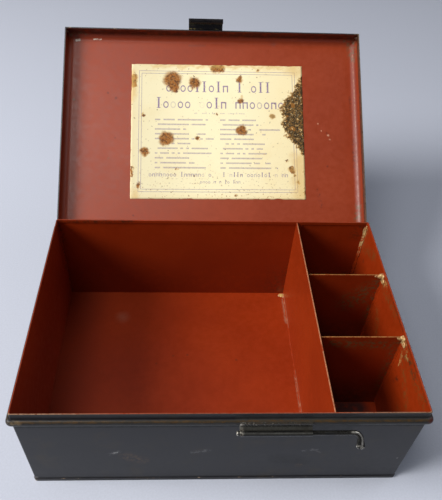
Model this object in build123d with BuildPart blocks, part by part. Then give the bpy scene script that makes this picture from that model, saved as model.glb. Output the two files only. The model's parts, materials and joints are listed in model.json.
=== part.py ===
from build123d import *
import os
from math import atan2, cos, degrees, radians, sin, tan

os.makedirs("parts", exist_ok=True)

# A tinplate first aid box, lid open. Millimetres. X runs to the right, Y to the back, Z up.
# The origin is the middle of the front wall's outer face, on the surface that the box stands on.

# Body
body_width = 268.0
body_depth = 183.0
body_height = 95.3
tin = 0.5
corner_radius = 1.5
hem_height = 3.0
hem_round = 0.3

# Bead that the lid's skirt sits on
ledge_drop = 6.0
bead_height = 5.0
bead_reach = 2.9
bead_round = 2.4
bead_corner_radius = 4.0

# Base
base_recess = 2.0
seam_height = 3.5
seam_clearance = 0.05
seam_round = 0.3

# Partitions
small_compartment_width = 62.1
rear_cross_y = 123.6
front_cross_y = 62.4
long_partition_drop = 0.7
partition_hem = 3.0
flange_width = 5.0
partition_clearance = 0.1

# Solder
solder_leg = 1.2
blob_radius = 2.6
blob_height = 0.9
blob_round = 0.7
corner_blob_radius = 2.8
side_seam_leg = 2.2

# Lid
lid_overhang = 2.2
lid_depth = 13.3
lid_fold = 6.5
lid_hem = 4.0
lid_gap = 0.3
lid_opening = 143.8
lid_corner_leg = 1.8

# Label in the lid
label_width = 160.0
label_height = 129.5
label_thickness = 0.15
label_centre_x = 4.5
label_front_margin = 27.7
label_tilt = 0.4

# Hinges
hinge_drop = 3.5
hinge_inset = 59.0
hinge_width = 44.0
hinge_wire_radius = 0.65
hinge_clearance = 0.05
hinge_pin_round = 0.15
knuckle_gap = 0.5
centre_knuckle = 21.0
body_leaf_height = 14.0
lid_leaf_height = 5.6
stop_gap = 0.3
stop_length = 8.0

# Latch
bolt_radius = 1.6
bolt_clearance = 0.05
bolt_reach = 5.9
bolt_drop = 14.1
sleeve_left = 10.9
sleeve_length = 46.8
bolt_tip_out = 2.2
bolt_tip_gap = 0.5
bolt_travel = 26.5
bolt_stop_gap = 0.5
bolt_bend_radius = 4.5
bolt_leg_length = 10.8
bolt_leg_angle = 45.0
paddle_width = 6.0
paddle_length = 5.5
paddle_thickness = 1.8
paddle_round = 2.4
hasp_width = 31.2
saddle_gap = 0.1
saddle_top_angle = 45.0
saddle_solder_angle = 55.0
saddle_solder_thickness = 0.25
hasp_tab_height = 4.1
hasp_tab_lift = 1.7
hasp_fold_angle = 45.0
hasp_solder_leg = 0.9

# What follows from them
hem = 2 * tin
body_centre = Plane(origin=(0, body_depth / 2, 0))
ledge_z = body_height - ledge_drop
bead_z = ledge_z - bead_height
inner_half_width = body_width / 2 - tin
partition_x = inner_half_width - small_compartment_width
floor_z = base_recess + tin
wall_foot = tin + seam_clearance
knuckle_bore = hinge_wire_radius + hinge_clearance
knuckle_radius = knuckle_bore + tin
barrel_bore = bolt_radius + bolt_clearance
barrel_radius = barrel_bore + tin

# Hinge line, and the lid's own frame: its XY plane is level when the lid is shut
skirt_edge_z = ledge_z + lid_gap
hinge_y = body_depth + lid_overhang + tin - knuckle_radius
hinge_z = skirt_edge_z - hinge_drop
opening = radians(lid_opening)
lid_frame = Plane(
    origin=(0, hinge_y, hinge_z),
    x_dir=(1, 0, 0),
    z_dir=(0, sin(opening), cos(opening)),
)
hinge_offset = body_width / 2 - hinge_inset
hinge_centres = {"left": -hinge_offset, "right": hinge_offset}


def body_side(x):
    """Plane that looks along X, with the body's Y and Z."""
    return Plane(origin=(x, 0, 0), x_dir=(0, 1, 0), z_dir=(1, 0, 0))


def lid_side(x):
    """The same plane of the lid, with the Y and Z that the shut lid has."""
    shut_origin = (x, -hinge_y, -hinge_z)
    return Plane(
        origin=lid_frame.from_local_coords(shut_origin),
        x_dir=lid_frame.y_dir,
        z_dir=lid_frame.x_dir,
    )


def lid_level(z):
    """Level plane of the shut lid at height z, over the middle of the body."""
    return Plane(
        origin=lid_frame.from_local_coords((0, body_depth / 2 - hinge_y, z - hinge_z)),
        x_dir=lid_frame.x_dir,
        z_dir=lid_frame.z_dir,
    )


# Bead: a rounded ledge along the front and the sides, which ends at the back corners
with BuildPart() as bead:
    with BuildSketch(body_centre.offset(bead_z)):
        bead_width = body_width + 2 * bead_reach
        bead_length = body_depth + 2 * bead_reach
        RectangleRounded(bead_width, bead_length, bead_corner_radius)
    extrude(amount=bead_height)
    fillet(bead.edges().group_by(Axis.Z)[0] + bead.edges().group_by(Axis.Z)[-1], bead_round)
    with BuildSketch(Plane.XY.offset(bead_z)):
        with Locations((0, body_depth - corner_radius)):
            bead_end_cut = corner_radius + bead_reach
            Rectangle(bead_width, bead_end_cut, align=(Align.CENTER, Align.MIN))
    extrude(amount=bead_height, mode=Mode.SUBTRACT)

with BuildPart() as body_wall:
    with BuildSketch(body_centre.offset(wall_foot)):
        RectangleRounded(body_width, body_depth, corner_radius)
    extrude(amount=body_height - wall_foot)
    add(bead.part)
    with BuildSketch(body_centre.offset(wall_foot)):
        RectangleRounded(body_width - 2 * tin, body_depth - 2 * tin, corner_radius - tin)
    extrude(amount=body_height - hem_height - wall_foot, mode=Mode.SUBTRACT)
    with BuildSketch(body_centre.offset(body_height - hem_height)):
        RectangleRounded(body_width - 2 * hem, body_depth - 2 * hem, corner_radius - tin)
    extrude(amount=hem_height, mode=Mode.SUBTRACT)
    fillet(body_wall.edges().group_by(Axis.Z)[-1], hem_round)
body_wall.part.label = "body_wall"
export_step(body_wall.part, "parts/body_wall.step")

# Base: a panel set up from the table, and a seam folded round the walls' foot
seam_grow = seam_clearance + tin
with BuildPart() as base_pan:
    with BuildSketch(body_centre):
        seam_width = body_width + 2 * seam_grow
        seam_length = body_depth + 2 * seam_grow
        RectangleRounded(seam_width, seam_length, corner_radius + seam_grow)
    extrude(amount=seam_height)
    fillet(base_pan.edges().group_by(Axis.Z)[-1], seam_round)
    fillet(base_pan.edges().group_by(Axis.Z)[0], seam_round)
    with BuildSketch(body_centre.offset(tin)):
        RectangleRounded(
            body_width + 2 * seam_clearance, body_depth + 2 * seam_clearance, corner_radius
        )
    extrude(amount=seam_height, mode=Mode.SUBTRACT)
    panel_cut = tin + seam_clearance
    with BuildSketch(body_centre.offset(tin)):
        RectangleRounded(
            body_width - 2 * panel_cut, body_depth - 2 * panel_cut, corner_radius - tin
        )
    extrude(amount=floor_z - tin)
    with BuildSketch(body_centre):
        recess_inset = panel_cut + tin
        RectangleRounded(
            body_width - 2 * recess_inset, body_depth - 2 * recess_inset, corner_radius - tin
        )
    extrude(amount=base_recess, mode=Mode.SUBTRACT)
base_pan.part.label = "base_pan"
export_step(base_pan.part, "parts/base_pan.step")

# Long partition: an upright sheet, with a hem along its top and flanges at its foot and ends
long_top = body_height - long_partition_drop
rim_hem_z = body_height - hem_height
long_face_x = partition_x - tin
with BuildPart() as long_partition:
    with BuildSketch(body_side(long_face_x)):
        with BuildLine():
            low_y = tin
            high_y = body_depth - tin
            in_y = hem + partition_clearance
            shoulder_z = rim_hem_z - partition_clearance
            Polyline(
                (low_y, floor_z), (high_y, floor_z), (high_y, shoulder_z),
                (body_depth - in_y, shoulder_z), (body_depth - in_y, long_top),
                (in_y, long_top), (in_y, shoulder_z), (low_y, shoulder_z), close=True,
            )
        make_face()
    extrude(amount=tin)
    with BuildSketch(body_side(partition_x)):
        with Locations((body_depth / 2, long_top)):
            Rectangle(body_depth - 2 * in_y, partition_hem, align=(Align.CENTER, Align.MAX))
    extrude(amount=tin)
    with BuildSketch(Plane.XY.offset(floor_z)):
        with Locations((partition_x, tin)):
            Rectangle(flange_width, body_depth - 2 * tin, align=(Align.MIN, Align.MIN))
    extrude(amount=tin)
    with BuildSketch(Plane.XY.offset(floor_z)):
        with Locations((partition_x, tin)):
            Rectangle(flange_width, tin, align=(Align.MIN, Align.MIN))
        with Locations((partition_x, body_depth - tin)):
            Rectangle(flange_width, tin, align=(Align.MIN, Align.MAX))
    extrude(amount=shoulder_z - floor_z)
    fillet(long_partition.edges().filter_by(Axis.Y).group_by(Axis.Z)[-1], hem_round)
long_partition.part.label = "long_partition"
export_step(long_partition.part, "parts/long_partition.step")

# Cross partitions: the same sheet, between the long partition and the right wall
cross_top = long_top - partition_hem - partition_clearance
cross_left = partition_x
cross_right = inner_half_width
cross_foot_left = partition_x + flange_width + partition_clearance
cross_foot_z = floor_z + tin
for place, cross_y in {"rear": rear_cross_y, "front": front_cross_y}.items():
    back_y = cross_y + tin
    with BuildPart() as cross_partition:
        with BuildSketch(Plane(origin=(0, cross_y, 0), x_dir=(1, 0, 0), z_dir=(0, -1, 0))):
            with BuildLine():
                Polyline(
                    (cross_foot_left, floor_z), (cross_right, floor_z),
                    (cross_right, cross_top), (cross_left, cross_top),
                    (cross_left, cross_foot_z), (cross_foot_left, cross_foot_z), close=True,
                )
            make_face()
        extrude(amount=-tin)
        with BuildSketch(Plane.XY.offset(cross_top - partition_hem)):
            with Locations((cross_left, back_y)):
                Rectangle(cross_right - cross_left, tin, align=(Align.MIN, Align.MIN))
        extrude(amount=partition_hem)
        with BuildSketch(Plane.XY.offset(floor_z)):
            with Locations((cross_foot_left, back_y)):
                foot_length = cross_right - cross_foot_left
                Rectangle(foot_length, flange_width, align=(Align.MIN, Align.MIN))
        extrude(amount=tin)
        with BuildSketch(Plane.XY.offset(cross_foot_z)):
            with Locations((cross_left, back_y)):
                Rectangle(tin, flange_width, align=(Align.MIN, Align.MIN))
            with Locations((cross_right, back_y)):
                Rectangle(tin, flange_width, align=(Align.MAX, Align.MIN))
        extrude(amount=cross_top - partition_hem - partition_clearance - cross_foot_z)
        top_edges = cross_partition.edges().filter_by(Axis.X).group_by(Axis.Z)[-1]
        fillet(top_edges, hem_round)
    cross_partition.part.label = f"{place}_cross_partition"
    export_step(cross_partition.part, f"parts/{place}_cross_partition.step")

# Solder in the corner at the long partition's foot, and the blob at its back end
with BuildPart() as long_partition_solder:
    with BuildSketch(Plane(origin=(0, tin, 0), x_dir=(1, 0, 0), z_dir=(0, -1, 0))):
        with BuildLine():
            Polyline(
                (long_face_x, floor_z), (long_face_x, floor_z + solder_leg),
                (long_face_x - solder_leg, floor_z), close=True,
            )
        make_face()
    extrude(amount=-(body_depth - 2 * tin))
    with BuildSketch(Plane.XY.offset(floor_z)):
        with Locations((long_face_x - blob_radius, body_depth - 2 * tin - blob_radius)):
            Circle(blob_radius)
    extrude(amount=blob_height)
    rim_edges = long_partition_solder.edges().filter_by(GeomType.CIRCLE).group_by(Axis.Z)[-1]
    fillet(rim_edges, blob_round)
long_partition_solder.part.label = "long_partition_solder"
export_step(long_partition_solder.part, "parts/long_partition_solder.step")

# Solder in the corners in front of the cross partitions, with a blob near the rim
blob_z = rim_hem_z - partition_clearance - corner_blob_radius
with BuildPart() as cross_partition_solder:
    for cross_y in (rear_cross_y, front_cross_y):
        with BuildSketch(Plane.XY.offset(cross_foot_z)):
            with BuildLine():
                Polyline(
                    (cross_right, cross_y), (cross_right - solder_leg, cross_y),
                    (cross_right, cross_y - solder_leg), close=True,
                )
            make_face()
            with BuildLine():
                Polyline(
                    (cross_left, cross_y), (cross_left + solder_leg, cross_y),
                    (cross_left, cross_y - solder_leg), close=True,
                )
            make_face()
        extrude(amount=blob_z - cross_foot_z)
        blob_plane = Plane(
            origin=(cross_right, cross_y, blob_z), x_dir=(-1, 0, 0), z_dir=(0, 1, 0)
        )
        with BuildSketch(blob_plane):
            with BuildLine():
                CenterArc((0, 0), corner_blob_radius, -90, 180)
                Line((0, corner_blob_radius), (0, -corner_blob_radius))
            make_face()
        revolve(axis=Axis((cross_right, cross_y, blob_z), (0, 0, 1)), revolution_arc=90)
cross_partition_solder.part.label = "cross_partition_solder"
export_step(cross_partition_solder.part, "parts/cross_partition_solder.step")

# Solder up the walls' side seam, inside the back right corner
with BuildPart() as side_seam_solder:
    with BuildSketch(Plane.XY.offset(floor_z)):
        seam_x = inner_half_width
        seam_y = body_depth - tin
        inner_radius = corner_radius - tin
        with BuildLine():
            Polyline(
                (seam_x - side_seam_leg, seam_y), (seam_x - inner_radius, seam_y),
                (seam_x, seam_y - inner_radius), (seam_x, seam_y - side_seam_leg), close=True,
            )
        make_face()
    extrude(amount=rim_hem_z - floor_z)
side_seam_solder.part.label = "side_seam_solder"
export_step(side_seam_solder.part, "parts/side_seam_solder.step")

# Bolt sleeve: a strip laid over the bead, folded down to a rolled barrel
bolt_y = -bolt_reach
bolt_z = body_height - bolt_drop
bead_axis = (bead_height / 2 - bead_reach, ledge_z - bead_height / 2)
saddle_inner = bead_height / 2 + saddle_gap
saddle_outer = saddle_inner + tin
web_vector = Vector(bolt_y, bolt_z) - Vector(*bead_axis)
web_angle = degrees(atan2(web_vector.Y, web_vector.X)) % 360
with BuildPart() as bolt_sleeve:
    with BuildSketch(body_side(sleeve_left)):
        start_angle = 180 - saddle_top_angle
        sweep_angle = web_angle - start_angle
        with BuildLine():
            outer_arc = CenterArc(bead_axis, saddle_outer, start_angle, sweep_angle)
            inner_arc = CenterArc(bead_axis, saddle_inner, start_angle, sweep_angle)
            Line(outer_arc @ 0, inner_arc @ 0)
            Line(outer_arc @ 1, inner_arc @ 1)
        make_face()
        web_length = web_vector.length - saddle_inner
        web_middle = Vector(*bead_axis) + web_vector.normalized() * (
            saddle_inner + web_length / 2
        )
        with Locations((web_middle.X, web_middle.Y)):
            Rectangle(web_length, hem, rotation=web_angle)
        with Locations((bolt_y, bolt_z)):
            Circle(barrel_radius)
            Circle(barrel_bore, mode=Mode.SUBTRACT)
    extrude(amount=sleeve_length)
bolt_sleeve.part.label = "bolt_sleeve"
export_step(bolt_sleeve.part, "parts/bolt_sleeve.step")

with BuildPart() as sleeve_solder:
    with BuildSketch(body_side(sleeve_left)):
        solder_outer = saddle_inner + saddle_solder_thickness
        solder_sweep = saddle_top_angle - saddle_solder_angle
        with BuildLine():
            outer_arc = CenterArc(bead_axis, solder_outer, start_angle, solder_sweep)
            inner_arc = CenterArc(bead_axis, saddle_inner, start_angle, solder_sweep)
            Line(outer_arc @ 0, inner_arc @ 0)
            Line(outer_arc @ 1, inner_arc @ 1)
        make_face()
    extrude(amount=sleeve_length)
sleeve_solder.part.label = "sleeve_solder"
export_step(sleeve_solder.part, "parts/sleeve_solder.step")

# Locking bolt: straight wire, a bend, and a flattened end for the finger
sleeve_right = sleeve_left + sleeve_length
bolt_tip_x = sleeve_left - bolt_tip_out
leg_x = sleeve_right + bolt_travel + bolt_stop_gap + bolt_bend_radius
leg_angle = radians(bolt_leg_angle)
bolt_plane = Plane(
    origin=(0, bolt_y, bolt_z),
    x_dir=(1, 0, 0),
    z_dir=(0, sin(leg_angle), -cos(leg_angle)),
)
with BuildPart() as locking_bolt:
    with BuildLine(bolt_plane) as bolt_line:
        FilletPolyline(
            (bolt_tip_x, 0), (leg_x, 0), (leg_x, bolt_leg_length - paddle_round),
            radius=bolt_bend_radius,
        )
    with BuildSketch(Plane(origin=(bolt_tip_x, bolt_y, bolt_z), z_dir=(1, 0, 0))):
        Circle(bolt_radius)
    sweep(path=bolt_line.line)
    with BuildSketch(bolt_plane.offset(-paddle_thickness / 2)):
        with Locations((leg_x, bolt_leg_length - paddle_length / 2)):
            RectangleRounded(paddle_width, paddle_length, paddle_round)
    extrude(amount=paddle_thickness)
locking_bolt.part.label = "locking_bolt"
export_step(locking_bolt.part, "parts/locking_bolt.step")

# Lid: a shallow folded tray with a hemmed skirt, drawn in its own frame
lid_width = body_width + 2 * lid_overhang
lid_length = body_depth + 2 * lid_overhang
lid_top_z = skirt_edge_z + lid_depth


def folded_tray(inset, low, high, fold):
    """Block over the lid's plan, inset on all sides, with its upper edges rounded."""
    with BuildPart() as tray:
        with BuildSketch(lid_level(low)):
            Rectangle(lid_width - 2 * inset, lid_length - 2 * inset)
        extrude(amount=high - low)
        if fold:
            upper = tray.faces().sort_by(Axis(lid_frame.origin, lid_frame.z_dir))[-1]
            fillet(upper.edges(), fold)
    return tray.part


hem_top_z = skirt_edge_z + lid_hem
lid_outside = folded_tray(0, skirt_edge_z, lid_top_z, lid_fold)
lid_inside = folded_tray(tin, hem_top_z, lid_top_z - tin, lid_fold - tin)
lid_mouth = folded_tray(hem, skirt_edge_z, hem_top_z, 0)
with BuildPart() as lid_shell:
    add(lid_outside)
    add(lid_inside, mode=Mode.SUBTRACT)
    add(lid_mouth, mode=Mode.SUBTRACT)
lid_shell.part.label = "lid_shell"
export_step(lid_shell.part, "parts/lid_shell.step")

# Solder in the lid's corners
with BuildPart() as lid_corner_solder:
    with BuildSketch(lid_level(hem_top_z)):
        corner_x = lid_width / 2 - tin
        corner_y = lid_length / 2 - tin
        for side_x in (-1, 1):
            for side_y in (-1, 1):
                with BuildLine():
                    Polyline(
                        (side_x * corner_x, side_y * corner_y),
                        (side_x * (corner_x - lid_corner_leg), side_y * corner_y),
                        (side_x * corner_x, side_y * (corner_y - lid_corner_leg)), close=True,
                    )
                make_face()
    extrude(amount=lid_depth - lid_fold - lid_hem)
lid_corner_solder.part.label = "lid_corner_solder"
export_step(lid_corner_solder.part, "parts/lid_corner_solder.step")

# Paper label on the inside of the lid's panel
with BuildPart() as contents_label:
    with BuildSketch(lid_level(lid_top_z - tin - label_thickness)):
        label_y = -lid_length / 2 + label_front_margin + label_height / 2
        with Locations((label_centre_x, label_y)):
            Rectangle(label_width, label_height, rotation=-label_tilt)
    extrude(amount=label_thickness)
contents_label.part.label = "contents_label"
export_step(contents_label.part, "parts/contents_label.step")

# Hasp: a tab on the front skirt that leans out past the bead to a rolled barrel
skirt_y = -lid_overhang
tab_foot_z = skirt_edge_z + hasp_tab_lift
tab_top_z = tab_foot_z + hasp_tab_height
hasp_left = bolt_tip_x - bolt_tip_gap - hasp_width
hasp_fold = radians(hasp_fold_angle)
drop_y = bolt_y - barrel_radius
knee_z = tab_foot_z - (skirt_y - tin - drop_y) / tan(hasp_fold)
fold_shift = tin * tan(hasp_fold / 2)
with BuildPart() as lid_hasp:
    with BuildSketch(lid_side(hasp_left)):
        with BuildLine():
            Polyline(
                (skirt_y, tab_top_z), (skirt_y, tab_foot_z - fold_shift),
                (drop_y + tin, knee_z - fold_shift), (drop_y + tin, bolt_z),
                (drop_y, bolt_z), (drop_y, knee_z),
                (skirt_y - tin, tab_foot_z), (skirt_y - tin, tab_top_z), close=True,
            )
        make_face()
        with Locations((bolt_y, bolt_z)):
            Circle(barrel_radius)
            Circle(barrel_bore, mode=Mode.SUBTRACT)
    extrude(amount=hasp_width)
lid_hasp.part.label = "lid_hasp"
export_step(lid_hasp.part, "parts/lid_hasp.step")

with BuildPart() as hasp_solder:
    with BuildSketch(lid_side(hasp_left)):
        with BuildLine():
            Polyline(
                (skirt_y, tab_top_z), (skirt_y - tin, tab_top_z),
                (skirt_y, tab_top_z + hasp_solder_leg), close=True,
            )
        make_face()
    extrude(amount=hasp_width)
hasp_solder.part.label = "hasp_solder"
export_step(hasp_solder.part, "parts/hasp_solder.step")

# Hinges: three knuckles on a wire pin, a leaf on the back wall and one on the lid's skirt
leaf_outer_y = hinge_y + knuckle_radius
outer_knuckle = (hinge_width - centre_knuckle - 2 * knuckle_gap) / 2
lid_leaf_top_z = skirt_edge_z + lid_leaf_height
centre_top_z = hinge_z + knuckle_radius + lid_gap
body_leaf_top_z = hinge_z - knuckle_radius - lid_gap
body_leaf_foot_z = body_leaf_top_z - body_leaf_height

# The lid's stop: a lip under the centre knuckle, parallel to the open lid's skirt
lip_along = Vector(sin(opening), cos(opening))
lip_across = Vector(cos(opening), -sin(opening))
lip_base = Vector(hinge_y, hinge_z) + lip_across * (knuckle_radius + stop_gap)
lip_points = [
    lip_base,
    lip_base + lip_along * stop_length,
    lip_base + lip_along * stop_length + lip_across * tin,
    lip_base + lip_across * tin,
]
for side, hinge_x in hinge_centres.items():
    left_x = hinge_x - hinge_width / 2
    centre_x = hinge_x - centre_knuckle / 2
    right_x = hinge_x + hinge_width / 2 - outer_knuckle
    with BuildPart() as body_leaf:
        with BuildSketch(body_side(left_x)):
            with Locations((body_depth, body_leaf_foot_z)):
                Rectangle(tin, body_leaf_height, align=(Align.MIN, Align.MIN))
        extrude(amount=hinge_width)
        with BuildSketch(body_side(centre_x)):
            with Locations((body_depth, body_leaf_top_z)):
                Rectangle(tin, hinge_z - body_leaf_top_z, align=(Align.MIN, Align.MIN))
            with BuildLine():
                Polyline(*[(point.X, point.Y) for point in lip_points], close=True)
            make_face()
            with Locations((hinge_y, hinge_z)):
                Circle(knuckle_radius)
                Circle(knuckle_bore, mode=Mode.SUBTRACT)
            with Locations((body_depth, hinge_z)):
                wall_cut = (Align.MAX, Align.CENTER)
                Rectangle(tin, body_leaf_height, align=wall_cut, mode=Mode.SUBTRACT)
        extrude(amount=centre_knuckle)
    body_leaf.part.label = f"{side}_body_leaf"
    export_step(body_leaf.part, f"parts/{side}_body_leaf.step")

    with BuildPart() as lid_leaf:
        with BuildSketch(lid_side(left_x)):
            with Locations((leaf_outer_y, centre_top_z)):
                Rectangle(tin, lid_leaf_top_z - centre_top_z, align=(Align.MAX, Align.MIN))
        extrude(amount=hinge_width)
        for knuckle_x in (left_x, right_x):
            with BuildSketch(lid_side(knuckle_x)):
                with Locations((leaf_outer_y, hinge_z)):
                    Rectangle(tin, centre_top_z - hinge_z, align=(Align.MAX, Align.MIN))
                with Locations((hinge_y, hinge_z)):
                    Circle(knuckle_radius)
                    Circle(knuckle_bore, mode=Mode.SUBTRACT)
            extrude(amount=outer_knuckle)
    lid_leaf.part.label = f"{side}_lid_leaf"
    export_step(lid_leaf.part, f"parts/{side}_lid_leaf.step")

    with BuildPart() as hinge_pin:
        with BuildSketch(Plane(origin=(left_x, hinge_y, hinge_z), z_dir=(1, 0, 0))):
            Circle(hinge_wire_radius)
        extrude(amount=hinge_width)
        fillet(hinge_pin.edges(), hinge_pin_round)
    hinge_pin.part.label = f"{side}_hinge_pin"
    export_step(hinge_pin.part, f"parts/{side}_hinge_pin.step")

# Solder along the far edges of the leaves
with BuildPart() as body_leaf_solder:
    for hinge_x in hinge_centres.values():
        with BuildSketch(body_side(hinge_x - hinge_width / 2)):
            with BuildLine():
                Polyline(
                    (body_depth, body_leaf_foot_z), (body_depth + tin, body_leaf_foot_z),
                    (body_depth, body_leaf_foot_z - solder_leg), close=True,
                )
            make_face()
        extrude(amount=hinge_width)
body_leaf_solder.part.label = "body_leaf_solder"
export_step(body_leaf_solder.part, "parts/body_leaf_solder.step")

with BuildPart() as lid_leaf_solder:
    for hinge_x in hinge_centres.values():
        with BuildSketch(lid_side(hinge_x - hinge_width / 2)):
            with BuildLine():
                skirt_back_y = body_depth + lid_overhang
                Polyline(
                    (skirt_back_y, lid_leaf_top_z), (skirt_back_y + tin, lid_leaf_top_z),
                    (skirt_back_y, lid_leaf_top_z + hasp_solder_leg), close=True,
                )
            make_face()
        extrude(amount=hinge_width)
lid_leaf_solder.part.label = "lid_leaf_solder"
export_step(lid_leaf_solder.part, "parts/lid_leaf_solder.step")
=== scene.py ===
import json
import logging
import math
from collections.abc import Callable, Sequence
from dataclasses import dataclass, field, replace
from enum import Enum

import bpy
from mathutils import Matrix, Vector, noise


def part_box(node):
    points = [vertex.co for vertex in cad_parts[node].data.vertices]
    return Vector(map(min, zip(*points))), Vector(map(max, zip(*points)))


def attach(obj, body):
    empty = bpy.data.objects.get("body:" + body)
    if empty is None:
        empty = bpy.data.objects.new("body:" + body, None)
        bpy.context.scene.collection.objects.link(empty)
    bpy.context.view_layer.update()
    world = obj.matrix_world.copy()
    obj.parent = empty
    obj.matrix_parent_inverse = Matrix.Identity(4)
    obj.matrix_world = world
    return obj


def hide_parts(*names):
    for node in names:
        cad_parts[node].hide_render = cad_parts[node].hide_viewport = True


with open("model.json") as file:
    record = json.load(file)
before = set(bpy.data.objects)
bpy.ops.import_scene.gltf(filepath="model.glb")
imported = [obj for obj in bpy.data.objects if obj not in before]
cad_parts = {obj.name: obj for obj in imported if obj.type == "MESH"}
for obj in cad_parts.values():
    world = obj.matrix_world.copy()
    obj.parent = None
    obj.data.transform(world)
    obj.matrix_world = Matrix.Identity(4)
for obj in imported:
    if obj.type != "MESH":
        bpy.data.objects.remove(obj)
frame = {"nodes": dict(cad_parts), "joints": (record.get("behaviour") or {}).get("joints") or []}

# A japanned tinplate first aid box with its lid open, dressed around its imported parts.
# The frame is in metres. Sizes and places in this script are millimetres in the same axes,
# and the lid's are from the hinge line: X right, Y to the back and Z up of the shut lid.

LOG = logging.getLogger("first_aid_box")
MM = 0.001
Point = tuple[float, float, float]
Colour = Point
EVEN = (1.0, 1.0, 1.0)
HINGE = next(joint for joint in frame["joints"] if joint["type"] == "hinge")
HINGE_LINE = Vector(HINGE["pos_m"]) / MM
OPENING = math.radians(max(HINGE["range_deg"]))


class Body(Enum):
    """The three bodies that pieces ride on."""

    BOX = "box"
    LID = "lid"
    BOLT = "bolt"


class Slot(Enum):
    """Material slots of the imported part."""

    WIRE = "steel_wire"
    SOLDER = "solder"
    PAPER = "label_paper"


# Shader maths


def operator(operation: str, swapped: bool = False) -> Callable[["Wire", "Value"], "Wire"]:
    """Makes a method of Wire that adds a Math node.

    Args:
        operation: Name of the node's operation.
        swapped: Whether the wire stands on the operator's right.

    Returns:
        The method.
    """

    def method(wire: "Wire", other: "Value") -> "Wire":
        """The operation's result on this value and another."""
        return wire.math(operation, *((other, wire) if swapped else (wire, other)))

    return method


class Wire:
    """A shader value that Python expressions combine, one Math node for each operator."""

    __add__, __radd__ = operator("ADD"), operator("ADD", swapped=True)
    __sub__, __rsub__ = operator("SUBTRACT"), operator("SUBTRACT", swapped=True)
    __mul__, __rmul__ = operator("MULTIPLY"), operator("MULTIPLY", swapped=True)
    __truediv__, __rtruediv__ = operator("DIVIDE"), operator("DIVIDE", swapped=True)
    larger, smaller = operator("MAXIMUM"), operator("MINIMUM")

    def __init__(self, shader: "Shader", socket: bpy.types.NodeSocket) -> None:
        """Wraps a socket.

        Args:
            shader: Shader that the socket belongs to.
            socket: Output socket of one of its nodes.
        """
        self.shader = shader
        self.socket = socket

    def math(self, operation: str, *values: "Value") -> "Wire":
        """Result of a Math node."""
        return self.shader.node("ShaderNodeMath", {"operation": operation}, dict(enumerate(values)))

    def __abs__(self) -> "Wire":
        """Size without sign."""
        return self.math("ABSOLUTE", self)

    def whole(self) -> "Wire":
        """Value rounded down."""
        return self.math("FLOOR", self)

    def fraction(self) -> "Wire":
        """What rounding down leaves."""
        return self.math("FRACT", self)

    def ease(self, low: float, high: float, start: float = 0.0, end: float = 1.0) -> "Wire":
        """Maps a range of this value smoothly onto another.

        Args:
            low: Value that gives start, which may be above high.
            high: Value that gives end.
            start: Result at low and beyond.
            end: Result at high and beyond.

        Returns:
            The mapped value.
        """
        ends = (low, high, start, end) if low < high else (high, low, end, start)
        inputs = dict(zip(("From Min", "From Max", "To Min", "To Max"), ends), Value=self)
        return self.shader.node("ShaderNodeMapRange", {"interpolation_type": "SMOOTHSTEP"}, inputs)

    def band(self, low: float, high: float, soft: float) -> "Wire":
        """One between two values and zero outside them.

        Args:
            low: Lower end of the band.
            high: Upper end of the band.
            soft: Width over which it fades.

        Returns:
            The mask.
        """
        half = (high - low) / 2
        return abs(self - (low + high) / 2).ease(half + soft / 2, half - soft / 2)


Value = Wire | float | tuple[float, ...]


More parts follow.
